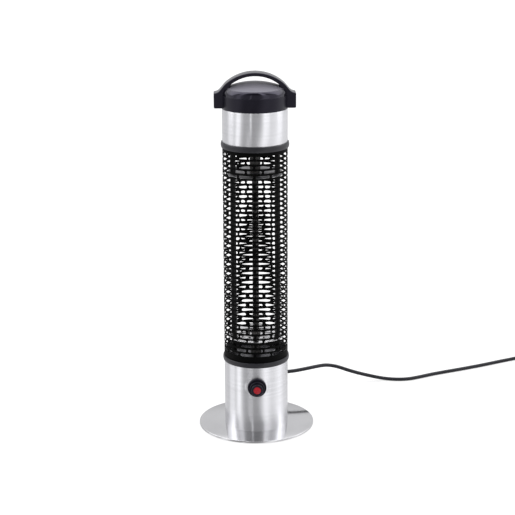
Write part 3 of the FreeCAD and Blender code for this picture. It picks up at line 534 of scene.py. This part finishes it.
def lens_material():
    """Red lens with faint cells inside."""
    shader = Shader("lens_red", Specular_IOR_Level=0.25)
    cells = shader.add("ShaderNodeTexVoronoi")
    shader.feed(cells, Vector=shader.place, Scale=900.0)
    cloud = shader.noise(260.0, 2.0)
    shader.colours(cloud, (0.27, 0.006, 0.012), (0.34, 0.009, 0.017))
    shader.roughness(cloud, 0.12, 0.2)
    shader.relief((cells.outputs["Distance"], 0.15e-3))
    return shader.material


def quartz_material():
    """Smoky quartz tube."""
    shader = Shader("quartz", IOR=1.46, Transmission_Weight=0.6)
    cloud = shader.noise(60.0, place=shader.stretched((1, 1, 0.15)))
    shader.colours(cloud, (0.012, 0.010, 0.011), (0.02, 0.017, 0.018))
    shader.roughness(cloud, 0.04, 0.1)
    shader.relief((cloud, 20e-6))
    return shader.material


def strap_material():
    """Woven hook-and-loop strap."""
    shader = Shader("tie_black", Sheen_Weight=0.4)
    waves = shader.add("ShaderNodeTexWave", wave_type="BANDS", bands_direction="DIAGONAL")
    shader.feed(waves, Vector=shader.place, Scale=450.0, Distortion=1.5)
    cloud = shader.noise(400.0)
    shader.colours(cloud, grey(0.012), grey(0.03))
    shader.roughness(cloud, 0.8, 0.95)
    shader.relief((waves.outputs["Fac"], 60e-6))
    return shader.material


# ---- base -------------------------------------------------------------------------------------------

def make_base():
    """Polished steel cover with a turned-down rim, on four rubber feet."""
    rim, hole = radius("base_cover"), 30 * MM
    top, bottom = high("base_cover"), low("base_cover")
    cover = lathe("base_disc", rounded([
        (hole, top - WALL, 0), (rim - WALL, top - WALL, 0.3 * MM), (rim - WALL, bottom, 0),
        (rim, bottom, 0.2 * MM), (rim, top, 0.5 * MM), (hole, top, 0),
    ]), 256)
    finish_piece(cover, "root", "base_steel", ["base_cover"])

    foot, foot_tip, foot_top = 7 * MM, 6.6 * MM, high("base_feet")
    spread = (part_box("base_feet")[1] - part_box("base_feet")[0]).x / 2 - foot
    bm = bmesh.new()
    for x in (-spread, spread):
        for y in (-spread, spread):
            lathe_into(bm, rounded([
                (0, 0, 0), (foot_tip, 0, 0.3 * MM), (foot, foot_top, 0.2 * MM), (0, foot_top, 0),
            ], 2), 48, matrix=Matrix.Translation((x, y, 0)))
    finish_piece(mesh_piece("rubber_feet", bm), "root", "rubber_black", ["base_feet"])


# ---- steel housings ---------------------------------------------------------------------------------

# The sheet round the switch: distance of a fully flat seat from the tower's axis, where the
# flattening starts and ends, and how far it goes towards flat.
SEAT_PLANE = 56.6 * MM
SEAT_INNER = 16.0 * MM
SEAT_OUTER = 23.0 * MM
SEAT_SHARE = 0.3


def pressed(x, y, z):
    """The Y of a point on the sheet, which is slightly flattened round the switch."""
    away = math.hypot(x, z - SWITCH_HEIGHT)
    if y > 0 or away > SEAT_OUTER:
        return y
    share = min(max((SEAT_OUTER - away) / (SEAT_OUTER - SEAT_INNER), 0), 1)
    share = share ** 3 * (share * (6 * share - 15) + 10)
    return y + (-SEAT_PLANE - y) * share * SEAT_SHARE


def spaced(start, end, step):
    """Even heights from start to end, about a step apart."""
    count = max(1, round((end - start) / step))
    return [start + (end - start) * index / count for index in range(count + 1)]


def make_lower_housing():
    """Brushed tube with a hole for the switch in front and one for the lead behind."""
    bottom, top = low("lower_housing"), high("lower_housing")
    near, far = SWITCH_HEIGHT - SEAT_OUTER, SWITCH_HEIGHT + SEAT_OUTER
    heights = [*spaced(bottom, near, 4 * MM)[:-1], *spaced(near, far, 1 * MM)[:-1],
               *spaced(far, top, 2 * MM)]
    switch_hole, cord_hole = 12.2 * MM, 6.1 * MM
    inside, outside = 40 * MM, 70 * MM
    bm = bmesh.new()

    def ring(share, z):
        made = []
        for index in range(TUBE_SEGMENTS):
            angle = FULL_TURN * index / TUBE_SEGMENTS
            x, y = TUBE * math.sin(angle), -TUBE * math.cos(angle)
            made.append(bm.verts.new((x * share, pressed(x, y, z) * share, z)))
        return made

    outer, inner = [[ring(share, z) for z in heights] for share in (1, (TUBE - WALL) / TUBE)]
    for skin in (outer, inner):
        for lower, upper in zip(skin, skin[1:]):
            bridge(bm, lower, upper)
    for end in (0, -1):
        bridge(bm, outer[end], inner[end])
    shell = mesh_piece("lower_housing_shell", bm, sharp=40)
    carve(shell, rod_cutter(switch_hole, inside, outside, FRONT_AXIS))
    carve(shell, rod_cutter(cord_hole, inside, outside, REAR_AXIS))
    finish_piece(shell, "root", "brushed_steel", ["lower_housing"])


def make_upper_housing():
    bottom, top = low("upper_housing"), high("upper_housing")
    shell = lathe("upper_housing_shell", rounded([
        (TUBE - WALL, bottom, 0), (TUBE, bottom, 0.25 * MM), (TUBE, top, 0.25 * MM),
        (TUBE - WALL, top, 0),
    ], 3), TUBE_SEGMENTS)
    finish_piece(shell, "root", "brushed_steel", ["upper_housing"])


def make_trim_rings():
    """Domed bands; the spigots reach into the tubes on both sides."""
    edge, inside, bore, step_bore = 59.3 * MM, TUBE - 1 * MM, 54.4 * MM, 50 * MM
    nick = 0.3 * MM
    for name, bottom, top, low_reach, high_reach, ledge in (
            ("lower_trim_ring", high("lower_housing"), low("guard"), 11.2, 11.2, 4.8),
            ("upper_trim_ring", high("guard"), low("upper_housing"), 6.2, 11.2, 2.0)):
        foot, peak = bottom - low_reach * MM, top + high_reach * MM
        step, step_top = bottom + ledge * MM, bottom + (ledge + 2) * MM
        ring = lathe(f"{name}_band", curved([
            (bore, foot), (inside, foot), (inside, bottom), (edge - nick, bottom),
            (edge, bottom + nick), (edge, top - nick), (edge - nick, top), (inside, top),
            (inside, peak), (bore, peak), (bore, step_top), (step_bore, step_top),
            (step_bore, step), (bore, step),
        ], {4: (13 * MM, 1, 12)}), 256)
        finish_piece(ring, "root", "trim_grey", [name])


# ---- guard ------------------------------------------------------------------------------------------

def make_guard():
    """Slotted tube: each cell of the pattern is a ring of faces round one rounded slot."""
    rows, count = 43, 12
    first, last = 509.6 * MM, 149.3 * MM
    turn = math.radians(-2.7)
    pitch = (first - last) / (rows - 1)
    cell = FULL_TURN / count
    half_slot, half_height = 13.35 * MM, 2.5 * MM
    straight = half_slot - half_height
    inner = TUBE - WALL
    lip, outer_lip, inner_lip = 0.3 * MM, 0.18 * MM, 0.12 * MM
    bm = bmesh.new()

    def at(angle, z, r):
        return bm.verts.new((r * math.sin(angle), -r * math.cos(angle), z))

    def loops(middle, z):
        """Cell border and slot edge as matching lists of (angle, height)."""
        border, slot = [], []
        for side, heading in ((-1, 1), (1, -1)):
            for index in range(-3, 4):
                border.append((heading * index * cell / 8, side * pitch / 2))
                slot.append((heading * index / 3 * straight / TUBE, side * half_height))
            for index in range(-2, 3):
                border.append((heading * cell / 2, heading * index * pitch / 4))
                tilt = math.radians(30 * index)
                slot.append((heading * (straight + half_height * math.cos(tilt)) / TUBE,
                             heading * half_height * math.sin(tilt)))
        return ([(middle + a, z + h) for a, h in border], [(middle + a, z + h) for a, h in slot])

    def grown(slot, middle, z, extra):
        """The slot's edge moved outwards, for the softened lip."""
        made = []
        for angle, height in slot:
            across, up = (angle - middle) * TUBE, height - z
            core = max(-straight, min(straight, across))
            length = math.hypot(across - core, up)
            scale = (length + extra) / length
            made.append((middle + (core + (across - core) * scale) / TUBE, z + up * scale))
        return made

    for row in range(rows):
        z = first - row * pitch
        shift = turn + (cell / 2 if row % 2 == 0 else 0)
        for column in range(count):
            middle = shift + column * cell
            border, slot = loops(middle, z)
            wide = grown(slot, middle, z, lip)
            layers = [
                [at(a, h, TUBE) for a, h in border], [at(a, h, TUBE) for a, h in wide],
                [at(a, h, TUBE - outer_lip) for a, h in slot],
                [at(a, h, inner + inner_lip) for a, h in slot],
                [at(a, h, inner) for a, h in wide], [at(a, h, inner) for a, h in border],
            ]
            for one, two in zip(layers, layers[1:]):
                bridge(bm, one, two)
    # plain bands above and below the slots, each open where it meets the pattern
    steps = count * 8
    for start, end, rim in ((first + pitch / 2, high("guard"), (1, 2)),
                            (low("guard"), last - pitch / 2, (3, 0))):
        rings = [[at(turn + FULL_TURN * index / steps, z, r) for index in range(steps)]
                 for z, r in ((start, TUBE), (end, TUBE), (end, inner), (start, inner))]
        for one, two in ((0, 1), (2, 3), rim):
            bridge(bm, rings[one], rings[two])
    bmesh.ops.remove_doubles(bm, verts=bm.verts, dist=2e-6)
    finish_piece(mesh_piece("slotted_guard", bm, sharp=50), "root", "guard_black", ["guard"])


# ---- lamp and frame inside the guard ---------------------------------------------------------------

def make_inner_frame():
    """Discs with a hole for the lamp, two posts and the lamp's glass."""
    disc_hole = 8.3 * MM
    for name, slot in (("lower_reflector", "reflector"), ("upper_disc", "disc_steel"),
                       ("lower_bulkhead", "zinc_steel"), ("upper_bulkhead", "zinc_steel")):
        r, bottom, top = radius(name), low(name), high(name)
        disc = lathe(f"{name}_plate", rounded([
            (disc_hole, bottom, 0), (r, bottom, 0.3 * MM), (r, top, 0.3 * MM), (disc_hole, top, 0),
        ], 3), 192)
        finish_piece(disc, "root", slot, [name])

    def pipe(name, outside, soft):
        """A pipe's outline over a node's height, with walls 1 mm thick and softened ends."""
        bore, bottom, top = outside - 1 * MM, low(name), high(name)
        return rounded([(bore, bottom, 0), (outside, bottom, soft), (outside, top, soft),
                        (bore, top, 0)], 2)

    post = 5 * MM
    offset = (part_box("support_posts")[1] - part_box("support_posts")[0]).x / 2 - post
    bm = bmesh.new()
    for x in (-offset, offset):
        lathe_into(bm, pipe("support_posts", post, 0.4 * MM), 48,
                   matrix=Matrix.Translation((x, 0, 0)))
    finish_piece(mesh_piece("post_pair", bm), "root", "post_black", ["support_posts"])
    glass = lathe("lamp_glass", pipe("lamp_tube", 5.8 * MM, 0.3 * MM), 64)
    finish_piece(glass, "root", "quartz", ["lamp_tube"])


# ---- cap and handle ---------------------------------------------------------------------------------

def shoulder_profile(extra=0.0):
    """The cap's outer line from the seam up to the lid, grown outwards by an extra."""
    seam, top = high("cap_skirt") + 0.2 * MM, high("cap_shoulder")
    edge, inner = 57.1 * MM + extra, 52.9 * MM + extra
    return curved([(edge, seam), (inner, top + extra)], {0: (12.5 * MM, 1, 14)})


def make_cap():
    """Satin skirt, gloss shoulder and a domed lid with a notch for each ear of the handle."""
    skirt_low, skirt_high = low("cap_skirt"), high("cap_skirt")
    seam_low = high("upper_housing")
    bore, spigot = 53.9 * MM, TUBE - 1 * MM
    skirt = lathe("cap_skirt_ring", rounded([
        (bore, skirt_low, 0), (spigot, skirt_low, 0.3 * MM), (spigot, seam_low, 0),
        (TUBE, seam_low, 0.3 * MM), (TUBE, skirt_high, 0.45 * MM), (bore, skirt_high, 0),
    ], 3), 256)
    finish_piece(skirt, "root", "cap_satin", ["cap_skirt"])

    seat = low("cap_lid")
    seam, peak = skirt_high + 0.2 * MM, high("cap_shoulder")
    groove = 51.7 * MM
    shoulder = lathe("cap_shoulder_ring", [
        (51.4 * MM, low("cap_shoulder")), (53.8 * MM, low("cap_shoulder")), (53.8 * MM, seam),
        *shoulder_profile(), (groove + 0.3 * MM, peak), (groove, peak - 0.3 * MM),
        (groove, seat), (45.5 * MM, seat), (45.5 * MM, seat - 3 * MM), (50 * MM, seat - 3 * MM),
    ], 256)
    finish_piece(shoulder, "root", "cap_gloss", ["cap_shoulder"])

    top = high("cap_lid")
    inner, outer = 48.5 * MM, 51.5 * MM
    lid = lathe("cap_lid_dome", curved([
        (0, top - 3 * MM), (inner, seat + 0.4 * MM), (inner, seat), (outer, seat),
        (outer, 621.6 * MM), (50.2 * MM, 622.8 * MM), (0, top),
    ], {0: (122.6 * MM, -1, 24), 4: (1.4 * MM, 1, 6), 5: (128.6 * MM, 1, 48)}), 256)
    near, far, half, above = 42.1 * MM, 52.1 * MM, 14.2 * MM, 640 * MM
    for side in (-1, 1):
        carve(lid, block_cutter(side * near, side * far, half, seat - 5 * MM, above))
    finish_piece(lid, "root", "cap_gloss", ["cap_lid"])


def handle_outline():
    """The handle's face in X and Z: an arched strap flaring into an ear on each side."""
    right = curved(in_mm(
        (0, 650), (52, 630), (60.2, 620.2), (69.9, 614.9), (71.5, 613.3), (71.5, 591.1),
        (68.9, 588.5), (50, 588.5), (50, 617), (42.3, 617), (42.3, 629.3), (0, 644.1),
    ), {0: (77.6 * MM, -1, 14), 2: (14 * MM, 1, 6), 3: (1.6 * MM, -1, 4),
        5: (2.6 * MM, -1, 6), 10: (66.5 * MM, 1, 12)})
    left = [(-x, z) for x, z in reversed(right[1:-1])]
    return [Vector(point) for point in right + left]


def make_handle():
    """The handle's face drawn out to its width, with softened edges, fitted over the cap."""
    half = 14 * MM
    bm = bmesh.new()
    outline = handle_outline()
    front = [bm.verts.new((p.x, -half, p.y)) for p in outline]
    back = [bm.verts.new((p.x, half, p.y)) for p in outline]
    bm.faces.new(front)
    bm.faces.new(list(reversed(back)))
    bridge(bm, front, back)
    handle = mesh_piece("carrying_handle", bm)
    bevel = handle.modifiers.new("edges", "BEVEL")
    bevel.width = 0.8 * MM
    bevel.segments = 4
    bevel.limit_method = "ANGLE"
    bevel.angle_limit = math.radians(50)
    apply_modifiers(handle)
    grown = 0.05 * MM
    bottom = 580 * MM
    envelope = lathe("cutter", [
        (0, bottom), (TUBE + grown, bottom), (TUBE + grown, high("cap_skirt") + 0.2 * MM),
        *shoulder_profile(grown), (0, high("cap_shoulder") + grown)], 256)
    carve(handle, envelope)
    finish_piece(handle, "root", "handle_black", ["handle"])


# ---- switch -----------------------------------------------------------------------------------------

def make_switch():
    """Bezel, push button and lens, all turned about the switch's own axis."""
    bezel = lathe("switch_bezel_ring", rounded(in_mm(
        (10.8, 46, 0), (11.9, 46, 0), (11.9, 55.6, 0), (17, 55.6, 0.3), (17, 61.6, 1.4),
        (15, 61.6, 0.2), (14.6, 61.2, 0.2), (13.1, 61.2, 0.3), (13.1, 67.6, 0.8),
        (10.8, 67.6, 0.4),
    )), 128, matrix=FRONT_AXIS)
    finish_piece(bezel, "root", "switch_black", ["switch_bezel"])
    button = lathe("push_button", rounded(in_mm(
        (0, 38, 0), (4, 38, 0.4), (4, 50, 0), (10.5, 50, 0.3), (10.5, 74.3, 1), (8.2, 74.3, 0.3),
        (7.4, 73.7, 0.3), (6.6, 73.7, 0.1), (6.6, 72.1, 0), (0, 72.1, 0),
    )), 128, matrix=FRONT_AXIS)
    finish_piece(button, "button", "switch_black", ["switch_button"])
    lens = lathe("red_lens", curved(in_mm((0, 72.1), (6.5, 72.1), (6.5, 73.9), (0, 75)),
                                    {2: (20 * MM, 1, 10)}), 96, matrix=FRONT_AXIS)
    finish_piece(lens, "button", "lens_red", ["button_lens"])


def make_spring():
    """Spring between the barrel's floor and the button."""
    wire, reach, turns, sides = 0.5 * MM, 6 * MM, 3, 12
    first, last, floor, height = 44.55 * MM, 49.45 * MM, 44 * MM, SWITCH_HEIGHT
    steps = 48 * turns
    along = Vector((0, 1, 0))
    bm = bmesh.new()
    rings = []
    for step in range(steps + 1):
        angle = FULL_TURN * turns * step / steps
        out = Vector((math.cos(angle), 0, math.sin(angle)))
        centre = out * reach + Vector((0, 0, height)) - along * (
            first + (last - first) * step / steps)
        ring = []
        for side in range(sides):
            turn = FULL_TURN * side / sides
            ring.append(bm.verts.new(centre + (out * math.cos(turn) + along * math.sin(turn)) * wire))
        rings.append(ring)
    for ring, after in zip(rings, rings[1:]):
        bridge(bm, ring, after)
    bm.faces.new(rings[0])
    bm.faces.new(rings[-1])
    spring = mesh_piece("return_spring", bm)
    finish_piece(spring, "root", "screw_steel", ["button_spring"])
    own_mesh(spring)


# ---- strain relief, plug and tie ----------------------------------------------------------------------

def make_strain_relief():
    """Tapered boot with flexing grooves on a round flange."""
    outline = curved(in_mm((0, 50), (5.9, 50), (5.9, 55), (9.5, 55), (9.5, 60), (8, 61.5)),
                     {4: (1.5 * MM, 1, 4)})
    start, end, ribs, groove = 62.5, 90.0, 6, 1.1 * MM
    step = (end - start) / ribs
    for index in range(ribs):
        outer = (7.3 - 2.5 * index / (ribs - 1)) * MM
        at = start + step * index
        outline += [(outer, at * MM), (outer, (at + step * 0.62) * MM),
                    (outer - groove, (at + step * 0.72) * MM),
                    (outer - groove, (at + step * 0.92) * MM)]
    outline += [(4.5 * MM, end * MM), (4.2 * MM, 92 * MM), (0, 92 * MM)]
    boot = lathe("cord_boot", outline, 72, matrix=REAR_AXIS, sharp=25)
    finish_piece(boot, "root", "rubber_black", ["strain_relief"])


def make_plug():
    """Moulded plug with its two pins; returns them with the earth clips."""
    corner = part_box("plug_body")
    length = corner[1].y - corner[0].y
    centre = (corner[0] + corner[1]) / 2
    matrix = Matrix.Translation((centre.x, corner[1].y, centre.z)) @ Matrix.Rotation(
        math.radians(90), 4, "X")

    neck_radius, first, last, fade = 15 * MM, 34 * MM, 58 * MM, 3 * MM
    rib_depth, rib_count = 0.7 * MM, 28

    def grip(angle, r, z):
        """Shallow finger ribs round the middle of the body."""
        if r < neck_radius:
            return r
        share = min(max((z - first) / fade, 0), 1) * min(max((last - z) / fade, 0), 1)
        return r - rib_depth * share * (0.5 + 0.5 * math.cos(rib_count * angle)) ** 2

    body = lathe("plug_moulding", [
        (0, 0), (5 * MM, 0), *[((5 + 4 * t / 8) * MM, 28 * t / 8 * MM) for t in range(1, 9)],
        *arc((9 * MM, 28 * MM), (18.5 * MM, 35 * MM), 9 * MM, 1, 8), (18.5 * MM, 35 * MM),
        *[(18.5 * MM, z * MM) for z in range(37, 60, 2)], (18.5 * MM, 61 * MM),
        *arc((18.5 * MM, 61 * MM), (16 * MM, length), 3 * MM, 1, 6), (16 * MM, length),
        (15.2 * MM, length), (15.2 * MM, length - 1 * MM), (0, length - 1 * MM)], 224, grip,
        matrix, sharp=35)
    finish_piece(body, "root", "rubber_black", ["plug_body"])

    bm = bmesh.new()
    for side in (-9.5 * MM, 9.5 * MM):
        lathe_into(bm, [
            (0, length - 3 * MM), (2.4 * MM, length - 3 * MM), (2.4 * MM, length + 16.6 * MM),
            *arc((2.4 * MM, length + 16.6 * MM), (0, length + 19 * MM), 2.4 * MM, 1, 8),
            (0, length + 19 * MM)], 40, matrix=Matrix.Translation((side, 0, 0)))
    pins = mesh_piece("plug_contacts", bm, matrix)
    finish_piece(pins, "root", "nickel", ["plug_pins"])
    return [body, pins, NODES["plug_earth_clips"]]


def make_tie():
    """Strap round the coil's section, a closed band with rounded corners."""
    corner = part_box("coil_tie")
    low_x, high_x = corner[0].x, corner[1].x
    half = (corner[1].y - corner[0].y) / 2
    middle = (corner[0].y + corner[1].y) / 2
    top = corner[1].z
    thick = 0.8 * MM
    outer = rounded([(low_x, 0, 4 * MM), (high_x, 0, 4 * MM), (high_x, top, 4 * MM),
                     (low_x, top, 4 * MM)], 6)
    near, far, under, over = low_x + thick, high_x - thick, thick, top - thick
    inner = rounded([(near, under, 3.2 * MM), (far, under, 3.2 * MM), (far, over, 3.2 * MM),
                     (near, over, 3.2 * MM)], 6)
    bm = bmesh.new()
    loops = [[bm.verts.new((p.x, y, p.y)) for p in outline]
             for outline, y in ((outer, middle - half), (outer, middle + half),
                                (inner, middle + half), (inner, middle - half))]
    for index, one in enumerate(loops):
        bridge(bm, one, loops[(index + 1) % len(loops)])
    tie = mesh_piece("coil_strap", bm, sharp=50)
    finish_piece(tie, "root", "tie_black", ["coil_tie"])
    return tie


# ---- CAD nodes that keep their shape ----------------------------------------------------------------

def paint_nodes():
    """Gives each CAD node the material of its slot in the record."""
    slots = {row["node"]: row["material_slot"] for row in frame["record"]["subparts"]}
    for name, item in NODES.items():
        paint(item, slots[name])


# ---- stage and light --------------------------------------------------------------------------------

def make_stage():
    """Round white floor that glows a little and isn't seen in reflections."""
    bm = bmesh.new()
    bmesh.ops.create_circle(bm, cap_ends=True, segments=96, radius=12)
    floor = mesh_piece("floor", bm)
    paper = Shader("white_floor", Roughness=0.9, Emission_Strength=0.72,
                   Emission_Color=(1, 1, 1, 1), Specular_IOR_Level=0.0)
    cloud = paper.noise(3.0)
    paper.colours(cloud, grey(0.21), grey(0.23))
    floor.data.materials.append(paper.material)
    floor.visible_glossy = False


# Brightness of the studio round the heater: degrees from the camera, anticlockwise from above.
LOW_BANDS = [
    (-180, 0.7), (-140, 0.8), (-110, 0.78), (-101, 1.08), (-80, 1.08), (-76, 0.85), (-69, 0.95),
    (-64, 1.4), (-53, 1.35), (-46, 0.75), (-36, 0.52), (-17, 0.5), (-15, 1.35), (-12.5, 1.35),
    (-11, 0.46), (12, 0.46), (22, 0.56), (30, 1.05), (35, 1.4), (50, 1.35), (57, 0.98),
    (82, 1.04), (91, 1.3), (107, 1.35), (116, 1.05), (140, 0.95), (180, 0.7),
]
HIGH_BANDS = [
    (-180, 1.0), (-110, 1.0), (-96, 2.2), (-84, 2.2), (-76, 0.3), (-68, 0.4), (-62, 2.6),
    (-54, 2.6), (-46, 0.3), (-8, 0.12), (18, 0.12), (29, 0.3), (34, 3.4), (46, 3.4),
    (53, 0.3), (84, 0.4), (91, 3.2), (103, 3.2), (110, 1.0), (180, 1.0),
]
# Brightness of the ceiling: degrees up from the horizon behind the heater, over the top.
CEILING = [(0, 0.7), (13, 0.75), (19, 0.92), (30, 0.9), (37, 2.2), (40, 1.9), (46, 2.1),
           (56, 2.7), (68, 3.2), (180, 3.2)]
# Heights, from -1 straight down to 1 straight up, over which the low bands give way to what is
# above them and over which the high bands take over in front.
LOW_EDGE = (0.1, 0.3)
HIGH_EDGE = (0.5, 0.85)
# The same for the ceiling and the front, in half turns over the top.
CEILING_EDGE = (98 / 180, 105 / 180)
# Below this height the low bands shift round, by this share of a turn for each unit of height.
LEAN_FROM = -0.174
LEAN_SHARE = 0.12


def make_world():
    """White studio with light strips beside the heater, white to the camera."""
    world = bpy.data.worlds.new("studio")
    bpy.context.scene.world = world
    world.use_nodes = True
    nodes, links = world.node_tree.nodes, world.node_tree.links
    place = nodes.new("ShaderNodeTexCoord")
    axes = nodes.new("ShaderNodeSeparateXYZ")
    links.new(place.outputs["Generated"], axes.inputs[0])
    across, depth, height = axes.outputs

    def feed(socket, value):
        if isinstance(value, bpy.types.NodeSocket):
            links.new(value, socket)
        else:
            socket.default_value = value

    def maths(operation, *values):
        node = nodes.new("ShaderNodeMath")
        node.operation = operation
        for socket, value in zip(node.inputs, values):
            feed(socket, value)
        return node.outputs[0]

    def ramp(source, stops, first, last):
        """Colour ramp over degrees from first to last."""
        node = nodes.new("ShaderNodeValToRGB")
        links.new(source, node.inputs[0])
        elements = node.color_ramp.elements
        for index, (degrees, value) in enumerate(stops):
            position = min(max((degrees - first) / (last - first), 0), 1)
            stop = elements[index] if index < 2 else elements.new(position)
            stop.position = position
            stop.color = (value, value, value * 1.015, 1)
        return node.outputs[0]

    def step(source, start, end):
        node = nodes.new("ShaderNodeMapRange")
        node.interpolation_type = "SMOOTHSTEP"
        feed(node.inputs[0], source)
        feed(node.inputs[1], start)
        feed(node.inputs[2], end)
        return node.outputs[0]

    def mix(share, first, second):
        node = nodes.new("ShaderNodeMix")
        node.data_type = "RGBA"
        links.new(share, node.inputs["Factor"])
        feed(node.inputs[6], first)
        feed(node.inputs[7], second)
        return node.outputs[2]

    # 0 behind the heater, 0.5 in front of it
    azimuth = maths("ARCTAN2", across, maths("MULTIPLY", depth, -1.0))
    turn = maths("MULTIPLY_ADD", azimuth, 1 / FULL_TURN, 0.5)
    below = maths("MAXIMUM", maths("SUBTRACT", LEAN_FROM, height), 0.0)
    lean = maths("MULTIPLY", below, LEAN_SHARE)
    span = (-180 + CAMERA_TURN, 180 + CAMERA_TURN)
    low_bands = ramp(maths("ADD", turn, lean), LOW_BANDS, *span)
    high_bands = ramp(turn, HIGH_BANDS, *span)
    # 0 on the horizon behind the heater, 0.5 overhead and 1 on the horizon in front
    over = maths("MULTIPLY", maths("ARCTAN2", height, depth), 1 / math.pi)
    ceiling = ramp(over, CEILING, 0, 180)
    front = mix(step(height, *HIGH_EDGE), low_bands, high_bands)
    upper = mix(step(over, *CEILING_EDGE), ceiling, front)
    round_about = mix(step(height, *LOW_EDGE), low_bands, upper)

    ray = nodes.new("ShaderNodeLightPath")
    seen = mix(ray.outputs["Is Camera Ray"], round_about, (1.0, 1.0, 1.0, 1))
    links.new(seen, nodes["Background"].inputs["Color"])
    nodes["Background"].inputs["Strength"].default_value = 1.0


# Soft panels above the heater: name, place in metres and power in watts.
PANELS = [("key_panel", (-1.2, -1.4, 2.6), 14), ("fill_panel", (1.6, 0.6, 2.4), 8)]
PANEL_SIZE = 1.6
PANEL_TARGET = (0, 0, 0.3)


def make_lights():
    for name, place, power in PANELS:
        data = bpy.data.lights.new(name, "AREA")
        data.size = PANEL_SIZE
        data.energy = power
        light = bpy.data.objects.new(name, data)
        light.location = place
        aim = Vector(PANEL_TARGET) - Vector(place)
        light.rotation_euler = aim.to_track_quat("-Z", "Y").to_euler()
        light.visible_camera = False
        light.visible_glossy = False
        bpy.context.scene.collection.objects.link(light)


# ---- the whole heater ---------------------------------------------------------------------------------

MATERIALS = make_materials()
make_camera()
paint_nodes()
lead = make_cord()
make_strain_relief()
plug = make_plug()
tie = make_tie()
make_base()
make_lower_housing()
make_upper_housing()
make_trim_rings()
make_guard()
make_inner_frame()
make_cap()
make_handle()
make_switch()
make_spring()
make_stage()
make_world()
make_lights()

scene = bpy.context.scene
scene.view_settings.view_transform = "Standard"
scene.view_settings.look = "None"
